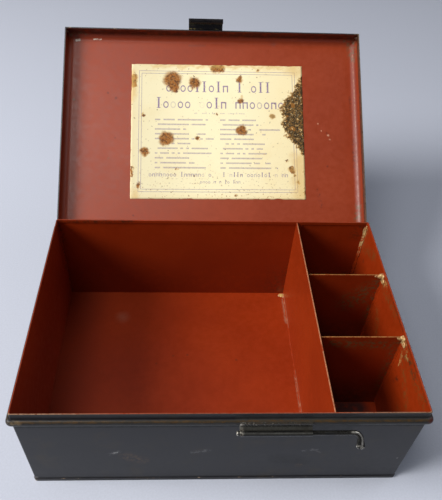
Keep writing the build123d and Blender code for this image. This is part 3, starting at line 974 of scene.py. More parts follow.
@dataclass
class Partitions:
    """The long partition, the two across the small compartments, and their solder."""

    face_x: float = 70.9
    right_x: float = 133.5
    floor: float = 2.5
    tin: float = 0.5
    leg: float = 1.1
    front_cross: float = 62.4
    rear_cross: float = 123.6
    drop_x: float = 68.2
    drop_y: float = 179.3
    foot_ends: tuple[float, float] = (1.2, 181.8)
    solder_top: float = 90.0
    seam_y: float = 182.2
    seam_length: float = 89.0

    def finish(
        self, lacquer: Lacquer, name: str, node: str, stains: Sequence[Stain]
    ) -> bpy.types.Material:
        """Red lacquer, rubbed in long patches along the folded top.

        Args:
            lacquer: Lacquer of the sheet.
            name: Name of the material.
            node: Node whose top is rubbed.
            stains: Marks on it.

        Returns:
            The material.
        """
        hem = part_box(node)[1].z / MM

        def worn(s: Shader) -> Wire:
            """One along the top edge."""
            patches = s.cloud(6.0, 4.0, 0.65)
            return s.z.ease(hem - 0.18, hem - 0.03) * patches.ease(0.28, 0.46) * 0.9

        return lacquer.coat(name, everywhere, worn, stains)

    def build(self) -> None:
        """Dresses the sheets and lays the solder."""
        front, rear = self.front_cross, self.rear_cross
        foot = Stain(
            (0.34, 0.20, 0.12), 0.55,
            flat("X", self.face_x, (1.5, 174.0, 4.0, 140.0, 3.6), (0.9, 92.0, 3.8, 40.0, 3.8)), 0.8,
        )
        long = self.finish(LONG_LACQUER, "long_partition_lacquer", "long_partition", [foot])
        dress(long, "long_partition")
        corner = (3.0, 74.0, 80.0, 73.0, 20.0)
        mottled = Stain(
            (0.12, 0.075, 0.030), 0.9,
            flat("Y", front, (4.0, 84.0, 84.0, 128.0, 82.0), (3.4, 130.0, 84.0, 131.5, 22.0))
            + flat("Y", rear, (9.0, 112.0, 58.0, 130.0, 74.0), (2.6, 130.0, 84.0, 131.5, 30.0))
            + flat("Y", front, corner) + flat("Y", rear, corner), 0.95, broken=True,
        )
        # Painted shade low on the cross partitions' front faces.
        shade = (26.0, 84.0, 8.0, 112.0, 6.0)
        low_shade = Stain(
            (0.050, 0.006, 0.003), 0.75, flat("Y", front, shade) + flat("Y", rear, shade), 0.95
        )
        cross = self.finish(
            CROSS_LACQUER, "cross_partition_lacquer", "front_cross_partition", [low_shade, mottled]
        )
        dress(cross, "front_cross_partition", "rear_cross_partition")
        right, back, up = Vector((1, 0, 0)), Vector((0, 1, 0)), Vector((0, 0, 1))
        self.lay_foot(right, back, up)
        self.lay_corners(right, back, up)
        seam = Solid()
        low = Vector((self.right_x - 0.3, self.seam_y, self.floor + 0.3))
        high = low + up * self.seam_length
        SolderRun(low, high, -right, -back, 1.8, 6.0, sag=0.4).build(seam)

        def worn(s: Shader) -> Wire:
            """One in streaks up the seam's upper part."""
            bits = s.cloud(2.4, 5.0, 0.72, stretch=(1.0, 1.0, 2.4))
            return s.z.ease(52.0, 78.0) * bits.ease(0.44, 0.54)

        make_piece(
            "wall_seam_solder", seam.points, seam.faces,
            SEAM_LACQUER.coat("seam_solder", everywhere, worn), Body.BOX,
            "side_seam_solder",
        )

    def lay_foot(self, right: Vector, back: Vector, up: Vector) -> None:
        """Lays the solder along the long partition's foot, with a drop at its back end.

        Args:
            right: One millimetre to the right.
            back: One millimetre to the back.
            up: One millimetre up.
        """
        foot = Solid()
        front_end, back_end = (Vector((self.face_x, y, self.floor)) for y in self.foot_ends)
        SolderRun(front_end, back_end, -right, up, 0.9, 1.0).build(foot)
        centre = Vector((self.drop_x, self.drop_y, self.floor))
        SolderDrop(centre, right * 2.5, back * 2.4, up * 0.9, 2.0).build(foot)
        golden = Stain(
            (0.66, 0.48, 0.15), 0.9,
            marks((2.6, self.drop_x, self.drop_y, 3.2), (1.2, self.drop_x - 0.2, 178.0, 3.4)), 0.3,
        )

        def worn(s: Shader) -> Wire:
            """One on the drop and in thin bits along the foot."""
            bits = s.cloud(2.6, 4.0, 0.7, stretch=(1.0, 3.0, 1.0))
            bright = s.y.band(141.0, 172.0, 8.0).larger(s.y.band(52.0, 92.0, 8.0))
            bright = bright.larger(s.y.band(79.0, 89.0, 4.0))
            return (bright * bits.ease(0.50, 0.62) * 0.75).larger(s.y.ease(175.5, 177.0))

        make_piece(
            "long_partition_foot_solder", foot.points, foot.faces,
            FOOT_LACQUER.coat("foot_solder", everywhere, worn, [golden]), Body.BOX,
            "long_partition_solder",
        )

    def lay_corners(self, right: Vector, back: Vector, up: Vector) -> None:
        """Lays the solder in the cross partitions' corners, with drops near the rim.

        Args:
            right: One millimetre to the right.
            back: One millimetre to the back.
            up: One millimetre up.
        """
        solid = Solid()
        top = self.solder_top
        for number, cross_y in enumerate((self.front_cross, self.rear_cross)):
            for x, leg in ((self.right_x, -right), (self.face_x + self.tin, right)):
                low, high = (Vector((x, cross_y, z)) for z in (self.floor + 0.6, top))
                SolderRun(low, high, leg, -back, self.leg, 3.0 + number + x).build(solid)
            for shift, lift, size in ((0.4, 0.9, 0.9), (-3.1, -1.2, 0.72), (-1.4, -3.4, 0.5)):
                centre = Vector((self.right_x - 0.3, cross_y - 1.0 + shift, top - 0.8 + lift))
                spread = (up * (2.8 * size), back * (2.7 * size), -right * (1.4 * size))
                SolderDrop(centre, *spread, 8.0 + number + lift).build(solid)
            full = 0.75 + 0.25 * number
            for shift, lift, size in ((-2.6 * full, 0.3, full), (-5.2 * full, 0.9, 0.6 * full)):
                centre = Vector((self.right_x + shift, cross_y + 0.1, top - 0.6 + lift))
                spread = (right * (3.2 * size), up * (2.0 * size), -back * (1.3 * size))
                SolderDrop(centre, *spread, 4.0 + number + shift).build(solid)
            centre = Vector((self.right_x - 1.6, cross_y + 0.3, top + 0.6))
            spread = (right * 2.3 * full, back * 1.9 * full, up * 1.7 * full)
            SolderDrop(centre, *spread, 5.0 + number).build(solid)

        def worn(s: Shader) -> Wire:
            """One on the drops near the rim, with a few bits below them."""
            bits = s.cloud(2.2, 4.0, 0.7, stretch=(1.0, 1.0, 2.0))
            drops = s.z.ease(83.5, 85.5) * s.x.ease(120.0, 121.0) * bits.ease(0.34, 0.50)
            return drops.larger(s.z.ease(60.0, 84.0) * bits.ease(0.60, 0.68) * 0.7)

        make_piece(
            "cross_partition_corner_solder", solid.points, solid.faces,
            SEAM_LACQUER.coat("corner_solder", everywhere, worn), Body.BOX,
            "cross_partition_solder",
        )


# The lid


@dataclass
class Lid:
    """The shallow folded lid, its corner solder and its hinges."""

    half_width: float = 136.2
    front: float = -186.7
    back: float = 0.7
    edge: float = 3.5
    panel: float = 16.3
    tin: float = 0.5
    fold: float = 6.5
    solder_leg: float = 1.6
    solder_ends: tuple[float, float] = (7.4, 12.2)

    def inside(self, s: Shader) -> Wire:
        """One on the faces that look into the shut box.

        Args:
            s: Shader that needs it.

        Returns:
            The mask.
        """
        along, above = lid_place(s)
        up = above - (self.panel + self.tin - self.fold)
        side = s.span(abs(s.x) - (self.half_width - self.fold), up)
        middle, half = (self.front + self.back) / 2, (self.back - self.front) / 2
        end = s.span(abs(along - middle) - (half - self.fold), up)
        shell = side.larger(end).ease(self.fold - 0.22, self.fold - 0.28)
        return shell * above.ease(self.edge + 0.05, self.edge + 0.15)

    def worn(self, s: Shader) -> Wire:
        """One along the skirt's edge, in patches.

        Args:
            s: Shader that needs it.

        Returns:
            The mask.
        """
        _, above = lid_place(s)
        patches = s.cloud(5.0, 5.0, 0.7).ease(0.60, 0.70)
        edge = above.ease(self.edge + 0.25, self.edge + 0.05)
        return edge * (patches * 0.5).larger(s.x.ease(130.0, 135.0) * 0.35)

    def stains(self) -> list[Stain]:
        """Spots and smudges on the lid's inner face, with painted shade along the side bends
        and on the front skirt and a painted highlight along the right bend.

        Returns:
            The stains, from the lowest to the topmost.
        """
        z = self.panel
        # Painted shade along the right and left bends, dimming their sheen.
        fold_shade = Stain(
            (0.13, 0.012, 0.003), 0.6,
            marks(
                (2.8, 133.4, -183, z - 2, 133.4, -4, z - 2),
                (4, -135.4, -183, z - 6.5, -135.4, -4, z - 6.5),
            ), 0.8,
        )
        shaded = Stain(
            (0.026, 0.007, 0.005), 0.82, (streak(4.6, -136, 136, -186.2, 8.5),), 0.35
        )
        tarnished = Stain(
            (0.030, 0.018, 0.009), 0.9, flat("X", 135.9, (3.2, -186, 6.4, -2, 6.4))
        )
        olive = Stain(
            (0.12, 0.085, 0.045), 0.75,
            marks(
                (4.2, 131.5, -184, z - 1.6, 133, -168, z - 1.6),
                (1.6, 120, -185, z - 3, 131, -185, z - 3),
                (2.6, -133, -184, z - 3, -120, -185, z - 4),
                (3, 131.6, -12, z - 1, 132.6, -24, z - 1.4),
                (1.2, -128.2, -122.6, z), (1.3, -95.7, -66.6, z),
            ), broken=True,
        )
        dark = Stain(
            (0.09, 0.014, 0.008), 0.75,
            flat(
                "Z", z, (1.3, -89.8, -124.5), (1, -97.2, -129.6), (0.7, -89.6, -86.2),
                (0.8, -71.8, -13.7), (0.9, 106, -94),
            ),
        )
        chips = Stain(
            (0.62, 0.34, 0.22), 0.7,
            flat(
                "Z", z, (1, 107.5, -91.9), (0.8, 108.6, -88), (0.6, 98, -103),
                (0.6, 101, -96),
            ),
        )
        smudge = Stain(
            (0.12, 0.045, 0.035), 0.35,
            flat("Z", z, (1.2, -22, -178.2, -8, -178.5), (2.4, 57.5, -181.5)), 0.9,
        )
        bruised = Stain(
            (0.045, 0.012, 0.010), 0.6,
            marks(
                (1.2, 130.6, -88, z - 0.5, 131, -62, z - 0.6), (1, 106, -62, z),
                (1.2, 96, -40, z, 99, -24, z),
                (1, 129, -130, z - 0.3, 129.6, -112, z - 0.4),
            ), 0.9, broken=True,
        )
        highlight = Stain(
            (0.42, 0.19, 0.11), 0.5,
            marks(
                (0.5, 132.6, -172, z - 1.3, 132.9, -100, z - 1.5),
                (0.4, 132.9, -92, z - 1.5, 133.1, -30, z - 1.6),
            ),
        )
        flux = Stain(
            (0.80, 0.74, 0.62), 0.85,
            marks(
                (1.1, -128, -181, z - 0.4, -125.5, -181.2, z - 0.4),
                (0.7, -112, -182.2, z - 0.8, -105, -182, z - 0.8),
            ),
        )
        spots = (olive, dark, chips, smudge, bruised, highlight, flux)
        return [replace(stain, inner=True) for stain in (fold_shade, shaded, tarnished, *spots)]

    def build(self) -> None:
        """Dresses the shell and the hinges and lays the solder in the corners."""
        shell = LID_LACQUER.coat("lid_lacquer", self.inside, self.worn, self.stains(), lid_axes)
        dress(shell, "lid_shell")
        solid = Solid()
        for side_x in (-1, 1):
            for side_y, y in ((1, self.front + self.tin), (-1, self.back - self.tin)):
                x = side_x * (self.half_width - self.tin)
                low, high = (lid_point(x, y, z) for z in self.solder_ends)
                along = (lid_point(x, y + side_y, self.solder_ends[0]) - low).normalized()
                across = Vector((-side_x, 0, 0))
                SolderRun(low, high, across, along, self.solder_leg, side_x + y).build(solid)
        make_piece(
            "lid_corner_solder_runs", solid.points, solid.faces, BARE_SOLDER.coat("bare_solder"),
            Body.LID, "lid_corner_solder",
        )
        leaf = LACQUER.coat(
            "leaf_lacquer", nowhere, lambda s: s.cloud(4.0, 5.0, 0.7).ease(0.60, 0.68)
        )
        dress(leaf, "left_body_leaf", "right_body_leaf", "left_lid_leaf", "right_lid_leaf")
        dress(WIRE_STEEL.coat("pin_steel"), "left_hinge_pin", "right_hinge_pin")
        dress(DULL_SOLDER.coat("hinge_solder"), "body_leaf_solder", "lid_leaf_solder")


@dataclass(frozen=True)
class Page:
    """A shader with its place across and down the label, and both as a vector."""

    shader: Shader
    x: Wire
    y: Wire
    place: Wire


@dataclass(frozen=True)
class Row:
    """A printed row, by its ends, its top, its height and the width of each shape."""

    left: float
    right: float
    top: float
    high: float
    pace: float


@dataclass
class Label:
    """The paper list of contents on the lid's inner face, with plain shapes for its words."""

    centre_x: float = 4.5
    front: float = -159.0
    width: float = 160.0
    height: float = 129.5
    thickness: float = 0.15
    paste: float = 0.02
    panel: float = 16.3
    tilt: float = math.radians(0.4)
    step: float = 1.6
    paper: Colour = (0.93, 0.84, 0.55)
    aged: Colour = (0.85, 0.69, 0.37)
    ink: Colour = (0.13, 0.07, 0.26)
    fox: Colour = (0.31, 0.105, 0.016)
    crust: Colour = (0.075, 0.045, 0.016)
    rim: float = 5.0
    borders: tuple[float, float] = (7.2, 9.6)
    columns: tuple[Row, ...] = (
        Row(-58.0, -4.0, 53.5, 1.4, 2.6), Row(2.0, 58.0, 53.5, 1.4, 2.6)
    )
    column_rows: int = 11
    pitch: float = 4.6
    bubble: float = 1.7
    headings: tuple[Row, ...] = (
        Row(-48.6, 50.4, 16.4, 10.6, 6.6), Row(-58.0, 62.6, 32.4, 10.6, 6.7),
        Row(-22.0, 25.4, 46.8, 1.6, 1.5), Row(-63.6, 64.4, 104.2, 4.4, 3.2),
        Row(-17.0, 20.6, 111.6, 3.2, 2.5),
    )

    def to_lid(self, x: float, y: float, lift: float) -> Vector:
        """Point of the label.

        Args:
            x: Place across it, from its middle.
            y: Place down it, from its front edge towards the hinge.
            lift: Height over the lid's panel.

        Returns:
            The point at rest.
        """
        middle = self.height / 2
        turned_x = x * math.cos(-self.tilt) - (y - middle) * math.sin(-self.tilt)
        turned_y = x * math.sin(-self.tilt) + (y - middle) * math.cos(-self.tilt)
        turned_y += self.front + middle
        return lid_point(self.centre_x + turned_x, turned_y, self.panel - lift)

    def bars(self, page: Page, column: Row) -> Wire:
        """A column of plain bars, broken into lengths.

        Args:
            page: Where it's printed.
            column: Its first row.

        Returns:
            One on the bars.
        """
        s, x, y = page.shader, page.x, page.y
        left, right, top = column.left, column.right, column.top
        down = (y - top) / self.pitch
        row = down.whole()
        lines = between(down.fraction() * self.pitch, 0.0, column.high)
        cell = ((x - left) / column.pace).whole()
        chance = s.chance("2D", Vector=s.join(cell, row))
        stroke = between((x / 1.15).fraction(), 0.0, 0.66)
        words = chance.ease(0.20, 0.21) * (stroke * 0.65 + 0.15)
        ragged = s.chance("1D", W=row + left) * (right - left) * 0.45
        ends = (x - right + ragged).ease(0.05, -0.05) * x.ease(left - 0.05, left + 0.05)
        return lines * words * ends * between(y, top, top + self.column_rows * self.pitch)

    def shapes(self, page: Page, row: Row) -> Wire:
        """One row of rings, arches and posts, which spell nothing.

        Args:
            page: Where it's printed.
            row: The row.

        Returns:
            One on the shapes.
        """
        s, x, y = page.shader, page.x, page.y
        high, pace = row.high, row.pace
        down = y - row.top
        cells = (x - row.left) / pace
        chance = s.chance("2D", Vector=s.join(cells.whole(), row.top))
        inside = abs((cells.fraction() - 0.5) * pace)
        half, low = pace * 0.37, high * 0.62
        from_middle = down - (high - low / 2)
        ring = s.vector("LENGTH", s.join(inside / half, from_middle / (low / 2)))
        ring = ring.band(0.66, 1.0, 0.12) * between(chance, 0.20, 0.51)
        arch = between(inside, half * 0.55, half)
        arch = arch.larger(between(down, high - low, high - low * 0.80))
        arch = arch * between(inside, -1.0, half) * between(down, high - low, high)
        post = between(inside, -1.0, half * 0.32)
        foot = abs(down - high / 2).ease(high * 0.44, high * 0.46)
        foot = between(inside, -1.0, half * 0.72) * foot
        shape = arch * between(chance, 0.55, 0.78)
        shape = shape.larger(post.larger(foot) * chance.ease(0.80, 0.81)).larger(ring)
        return shape * between(down, 0.0, high) * between(x, row.left, row.right)

    def printed(self, page: Page) -> Wire:
        """One on the ruled border, the headings and the columns.

        Args:
            page: Where they're printed.

        Returns:
            The mask.
        """
        middle = self.height / 2
        ink = None
        for inset in self.borders:
            across = abs(page.x) - (self.width / 2 - inset)
            down = abs(page.y - middle) - (middle - inset + 0.6)
            ring = abs(across.larger(down)).ease(0.26, 0.12)
            ink = ring if ink is None else ink.larger(ring)
        for column in self.columns:
            ink = ink.larger(self.bars(page, column))
        for row in self.headings:
            ink = ink.larger(self.shapes(page, row))
        return ink

    def crusted(self, page: Page) -> Wire:
        """One on the corroded patch at the right edge.

        Args:
            page: The label.

        Returns:
            The mask.
        """
        s, place = page.shader, page.place
        ragged = s.cloud(9.0, 6.0, 0.72, place)
        across = page.x + ragged * 28.0 - 14.0 + s.cloud(2.4, 4.0, 0.7, place) * 10.0 - 5.0
        reach = 82.0 - abs(page.y - 50.0).ease(8.0, 46.0, 22.0, 0.0)
        island = s.vector("DISTANCE", place, (50.5, 50.0, 0.0)) + ragged * 8.0
        patch = (across - reach).ease(-2.5, 3.0).larger(island.ease(8.4, 5.6) * 0.6)
        return patch * s.cloud(3.2, 4.0, 0.7, place).ease(0.34, 0.45, 0.3, 1.0)

    def foxing(self) -> Stain:
        """Brown spots of damp on the paper."""
        spots = flat(
            "Z", 0, (8, -42, 15), (4.6, -40.5, 23), (5.2, -21.5, 18),
            (3.8, -2, 3.5, 3, 3.2), (2.8, -78, 13, -78, 21), (2.8, 20.5, 14),
            (2.8, 21.6, 34.7), (4.8, 22.2, 64), (6.6, -47.4, 72.9), (4, -67.2, 85.3),
            (1.8, -68.3, 50.2), (1.2, -0.8, 48.9), (2, -19.2, 71.6), (2.4, -73, 117),
            (1.5, 70.4, 107.3), (1.6, 63, 93), (2.2, 67.5, 100, 69, 103),
            (1.4, 74, 113), (1.2, -38, 101), (1, 44, 86), (1.4, 38, 5),
            (1.2, -78.5, 100, -78.8, 108), (1.5, 16, 126),
        )
        return Stain(self.fox, 1, spots, 0.28)

    def finish(self) -> bpy.types.Material:
        """Old paper with printed rows, foxing, damp edges and a corroded patch that has
        painted glints.

        Returns:
            The material.
        """
        s = Shader("label_paper")
        along, _ = lid_place(s)
        from_x = s.x - self.centre_x
        from_y = along - (self.front + self.height / 2)
        x = from_x * math.cos(self.tilt) - from_y * math.sin(self.tilt)
        y = from_x * math.sin(self.tilt) + from_y * math.cos(self.tilt) + self.height / 2
        place = s.join(x, y)
        page = Page(s, x, y, place)
        fibre = s.cloud(1.2, 4.0, 0.7, place)
        wash = s.cloud(28.0, 4.0, 0.6, place)
        rim = abs(x) - (self.width / 2 - self.rim)
        rim = rim.larger(abs(y - self.height / 2) - (self.height / 2 - self.rim))
        age = x.ease(10.0, 80.0, 0.0, 0.55) + wash.ease(0.45, 0.75, 0.0, 0.35)
        age = age + rim.ease(-3.0, 5.0, 0.0, 0.35) + fibre.ease(0.3, 0.7, -0.06, 0.06)
        colour = s.mix(self.paper, self.aged, age.smaller(1.0))
        # Painted shade: the paper darkens towards its left edge, against the brighter light there.
        colour = s.tint(colour, x.ease(-80.0, 0.0, 0.84, 1.0))
        colour = s.mix(colour, self.ink, self.printed(page) * fibre.ease(0.3, 0.6, 0.5, 0.9))
        spots = self.foxing()
        fine = s.cloud(2.6, 2.0, 0.5, place)
        specks = fine.ease(0.665, 0.71) * wash.ease(0.42, 0.60, 0.2, 0.9)
        low = y.ease(90.0, 126.0) * s.cloud(2.0, 2.0, 0.5, place).ease(0.62, 0.69) * 0.8
        fox = spots.mask(s, s.ragged(s.ragged(place, 5.0, 3.4), 1.4, 1.0))
        fox = fox.larger(specks).larger(low)
        deep = s.mix(self.fox, (0.11, 0.030, 0.006), fine.ease(0.46, 0.60))
        golden = s.mix(colour, (0.62, 0.36, 0.09), spots.mask(s, s.ragged(place, 8.0, 6.0)))
        colour = s.mix(colour, golden, 0.55)
        colour = s.mix(colour, deep, fox * fibre.ease(0.25, 0.6, 0.65, 1.0))
        damp = Stain(
            (0.66, 0.42, 0.13), 0.55,
            flat(
                "Z", 0.0, (6.0, 74.0, 92.0, 76.0, 126.0), (3.5, -79.0, 8.0, -79.0, 34.0),
                (2.0, -60.0, 2.0, 60.0, 1.0), (7.0, 72.0, 4.0), (4.0, -76.0, 126.0),
            ), 0.9,
        )
        colour = s.mix(colour, damp.colour, damp.mask(s, s.ragged(place, 9.0, 7.0)))
        crust = self.crusted(page)
        bubbled = s.ragged(place, 2.0, 0.7)
        cells = {"Vector": bubbled, "Scale": 1 / self.bubble}
        cells = s.node("ShaderNodeTexVoronoi", {}, cells, "Distance")
        holes = s.cloud(1.5, 3.0, 0.6, bubbled).ease(0.50, 0.60) * 0.9
        # Painted highlights on the corroded patch's bubbles.
        painted_glint = cells.ease(0.30, 0.14) * s.cloud(2.8, 2.0, 0.5, place).ease(0.48, 0.56)
        scab = s.cloud(2.6, 5.0, 0.7, place).ease(0.42, 0.54)
        burnt = s.mix((0.24, 0.125, 0.032), self.crust, scab)
        for tone, share in (
            ((0.012, 0.009, 0.006), holes),
            ((0.36, 0.14, 0.02), s.cloud(6.0, 2.0, 0.5, place).ease(0.58, 0.64) * 0.6),
            ((0.70, 0.60, 0.36), painted_glint),
        ):
            burnt = s.mix(burnt, tone, share)
        colour = s.mix(colour, (0.52, 0.27, 0.06), crust.ease(0.02, 0.5, 0.0, 1.0) * 0.8)
        colour = s.mix(colour, burnt, crust.ease(0.3, 0.9))
        return s.surface(
            fibre * 0.03 + wash * 0.15 + crust * cells.ease(0.1, 0.5, 0.25, 0.0),
            Base_Color=colour, Roughness=crust * -0.2 + 0.85, Specular_IOR_Level=0.2,
        )

    def build(self) -> None:
        """Makes the sheet of paper."""
        columns, rows = round(self.width / self.step), round(self.height / self.step)
        points, faces = [], []
        for level in (self.paste, self.thickness):
            for row in range(rows + 1):
                for column in range(columns + 1):
                    x = self.width * (column / columns - 0.5)
                    y = self.height * row / rows
                    place = Vector((x, y, 0.0))
                    if min(column, columns - column, row, rows - row) == 0:
                        x *= 1.0 - 0.004 * abs(wander(place, 6.0, 1.0))
                        y += 0.5 * wander(place, 5.0, 2.0) * (1 if row == 0 else -1)
                        y = min(max(y, 0.0), self.height)
                    wave = 0.06 + 0.06 * wander(place, 30.0, 3.0)
                    lift = level + (wave if level == self.thickness else 0.0)
                    points.append(self.to_lid(x, y, lift))
        width = columns + 1
        count = (rows + 1) * width
        for row in range(rows):
            for column in range(columns):
                low = row * width + column
                face = (low, low + 1, low + width + 1, low + width)
                faces += [face, tuple(count + index for index in reversed(face))]
        border = list(range(width)) + [row * width + columns for row in range(1, rows + 1)]
        border += [rows * width + column for column in range(columns - 1, -1, -1)]
        border += [row * width for row in range(rows - 1, 0, -1)]
        for here, after in zip(border, border[1:] + border[:1]):
            faces.append((after, here, count + here, count + after))
        make_piece(
            "contents_sheet", points, faces, self.finish(), Body.LID, "contents_label"
        )


# The latch


@dataclass
class Latch:
    """The sleeve over the bead, the sliding bolt and the lid's hasp."""

    axis_y: float = -5.9
    axis_z: float = 81.2
    radius: float = 1.6
    tip_x: float = 8.7
    tip_round: float = 0.8
    leg_x: float = 89.2
    bend: float = 4.5
    leg_angle: float = math.radians(45.0)
    leg_length: float = 10.8
    paddle_half_width: float = 3.0
    paddle_half_thick: float = 0.9
    bend_spread: float = 0.6
    body_steps: int = 40
    bend_steps: int = 10
    leg_steps: int = 12
    sides: int = 20
    sleeve_ends: tuple[float, float] = (10.0, 58.5)
    hasp_ends: tuple[float, float] = (-23.0, 8.2)

    def bolt_ring(
        self, place: Vector, heading: Vector, across: Vector, wide: float, thick: float
    ) -> list[Vector]:
        """One ring of points round the bolt's wire.

        Args:
            place: Middle of the ring.
            heading: Way that the wire runs there.
            across: Way that the wire isn't flattened.
            wide: Half width over the flattened end.
            thick: Half thickness of it.

        Returns:
            The points.
        """
        side = heading.cross(across).normalized()
        ring = []
        for number in range(self.sides):
            turn = math.tau * number / self.sides
            wobble = 1.0 + 0.012 * wander(place, 3.0, 4.0 + number)
            offset = side * math.cos(turn) * wide + across * math.sin(turn) * thick
            ring.append(place + offset * wobble)
        return ring

    def bolt_rings(self) -> list[list[Vector]]:
        """Rings of points along the bolt, from its tip to its flattened end.

        Returns:
            The rings.
        """
        outward = Vector((0.0, -math.cos(self.leg_angle), -math.sin(self.leg_angle)))
        right = Vector((1.0, 0.0, 0.0))
        across = right.cross(outward)
        axis = Vector((0.0, self.axis_y, self.axis_z))
        straight = self.leg_x - self.bend
        body_x = self.tip_x + self.tip_round
        rings = []
        stations = [(self.tip_x, 0.55), (self.tip_x + 0.25, 0.90), (body_x, 1.0)]
        for step in range(1, self.body_steps + 1):
            stations.append((body_x + (straight - body_x) * step / self.body_steps, 1.0))
        for x, share in stations:
            size = self.radius * share
            rings.append(self.bolt_ring(axis + right * x, right, across, size, size))
        for step in range(1, self.bend_steps + 1):
            turn = math.pi / 2 * step / self.bend_steps
            place = axis + right * (straight + self.bend * math.sin(turn))
            place += outward * self.bend * (1 - math.cos(turn))
            heading = right * math.cos(turn) + outward * math.sin(turn)
            wide = self.radius + self.bend_spread * step / self.bend_steps
            rings.append(self.bolt_ring(place, heading, across, wide, self.radius))
        for step in range(1, self.leg_steps + 1):
            share = step / self.leg_steps
            reach = self.bend + (self.leg_length - self.bend) * share
            place = axis + right * self.leg_x + outward * reach
            spread = min(1.0, share * 1.6)
            start = self.radius + self.bend_spread
            wide = start + (self.paddle_half_width - start) * spread
            thick = self.radius + (self.paddle_half_thick - self.radius) * spread
            if share > 0.7:
                rounded = math.sqrt(max(0.03, 1 - ((share - 0.7) / 0.3) ** 2))
                wide *= rounded
                thick *= 0.45 + 0.55 * rounded
            rings.append(self.bolt_ring(place, outward, across, wide, thick))
        return rings

    def bend_highlight_and_wear(self, s: Shader) -> Wire:
        """A painted highlight along the bend's outer side, and worn bright spots on the
        flattened end and the tip.

        Args:
            s: Shader that needs it.

        Returns:
            The mask.
        """
        straight, lean = self.leg_x - self.bend, self.leg_angle
        drop = (self.axis_y - s.y) * math.cos(lean) + (self.axis_z - s.z) * math.sin(lean)
        # Painted highlight along the outer side of the bend.
        outer = s.span(s.x - straight, self.bend - drop)
        outer = outer.band(self.bend + 0.2, self.bend + 1.25, 0.4)
        outer = outer * s.x.ease(straight - 3.0, straight + 0.5)
        spots = s.cloud(1.3, 3.0, 0.6).ease(0.52, 0.60) * s.z.ease(76.6, 75.4)
        tip = s.x.ease(self.tip_x + 1.4, self.tip_x + 0.6) * 0.45
        return outer.larger(spots).larger(tip)

    def sleeve_worn(self, s: Shader) -> Wire:
        """One in specks on the strip over the bead and at its left end.

        Args:
            s: Shader that needs it.

        Returns:
            The mask.
        """
        specks = s.cloud(1.1, 4.0, 0.7)
        strip = s.z.ease(self.axis_z + 2.8, self.axis_z + 3.6) * specks.ease(0.57, 0.64)
        strip = strip * s.x.ease(40.0, 30.0, 0.15, 0.9)
        return strip.larger(s.x.ease(14.0, 12.0) * specks.ease(0.42, 0.54))

    def sleeve_stains(self) -> list[Stain]:
        """The flange's wear, painted shade in the groove and under the barrel, and a painted
        highlight along the barrel between them.

        Returns:
            The stains, from the lowest to the topmost.
        """
        left, right = self.sleeve_ends
        y, z = self.axis_y, self.axis_z
        flange = (streak(2, left + 2, right, y + 1.1, z + 3.9),)
        brown = (streak(1.6, left, right, y + 4.4, z + 7.4),)
        # Painted shade in the groove over the barrel and under the barrel.
        upper = streak(0.8, left + 2, right, y + 0.2, z + 2.4)
        lower = streak(1.8, left, right, y - 2.1, z - 0.6)
        # Painted highlight: a thin light line along the barrel's front.
        light = (streak(0.42, left + 1, right - 1, y - 1.3, z + 1.9),)
        return [
            Stain((0.042, 0.041, 0.035), 0.8, flange, 0.4),
            Stain((0.080, 0.050, 0.024), 0.6, brown, 0.9, broken=True),
            Stain((0.002, 0.002, 0.002), 0.92, (upper, lower), 0.35),
            Stain((0.060, 0.060, 0.056), 0.8, light),
        ]

    def hasp_stains(self) -> list[Stain]:
        """Bands of wear along the hasp and a painted highlight along its barrel's top,
        in the lid's axes.

        Returns:
            The stains, from the lowest to the topmost.
        """
        left, right = self.hasp_ends
        # The first olive streak is a band of wear; the second is a painted highlight along the
        # barrel's top.
        olive = (streak(0.9, left, right, -191.2, 0.2), streak(0.9, -14, 3, -192.3, -5.4))
        return [
            Stain((0.075, 0.070, 0.025), 0.6, olive),
            Stain((0.050, 0.026, 0.042), 0.8, (streak(0.8, left, right, -191.6, -2.6),)),
            Stain((0.34, 0.27, 0.10), 0.7, (streak(0.5, left, right, -187.5, 3.4),), 0.4),
        ]

    def hasp_worn(self, s: Shader) -> Wire:
        """One in fine specks."""
        return s.cloud(2.0, 5.0, 0.7, stretch=(2.5, 1.0, 1.0)).ease(0.62, 0.70) * 0.5

    def build(self) -> None:
        """Makes the bolt and dresses the sleeve and the hasp."""
        bolt = Solid()
        bolt.add_rings(self.bolt_rings())
        steel = WIRE_STEEL.coat("bolt_steel", (2.5, 1.0, 1.0), self.bend_highlight_and_wear)
        make_piece(
            "sliding_bolt", bolt.points, bolt.faces, steel, Body.BOLT, "locking_bolt"
        )
        sleeve = STRIP_LACQUER.coat(
            "sleeve_lacquer", nowhere, self.sleeve_worn, self.sleeve_stains()
        )
        dress(sleeve, "bolt_sleeve")
        hasp = HASP_LACQUER.coat(
            "hasp_lacquer", nowhere, self.hasp_worn, self.hasp_stains(), lid_axes
        )
        dress(hasp, "lid_hasp")
        dress(DULL_SOLDER.coat("latch_solder"), "sleeve_solder", "hasp_solder")


# The studio


@dataclass
class Lamp:
    """A soft round lamp, placed in metres."""

    name: str
    place: Point
    aim: Point
    size: float
    power: float
    colour: Colour

    def build(self) -> None:
        """Adds the lamp."""
        light = bpy.data.lights.new(self.name, "AREA")
        light.shape = "DISK"
        light.size = self.size
        light.energy = self.power
        light.color = self.colour
        lamp = bpy.data.objects.new(self.name, light)
        place = Vector(self.place)
        lamp.location = place
        lamp.rotation_euler = (Vector(self.aim) - place).to_track_quat("-Z", "Y").to_euler()
        bpy.context.scene.collection.objects.link(lamp)


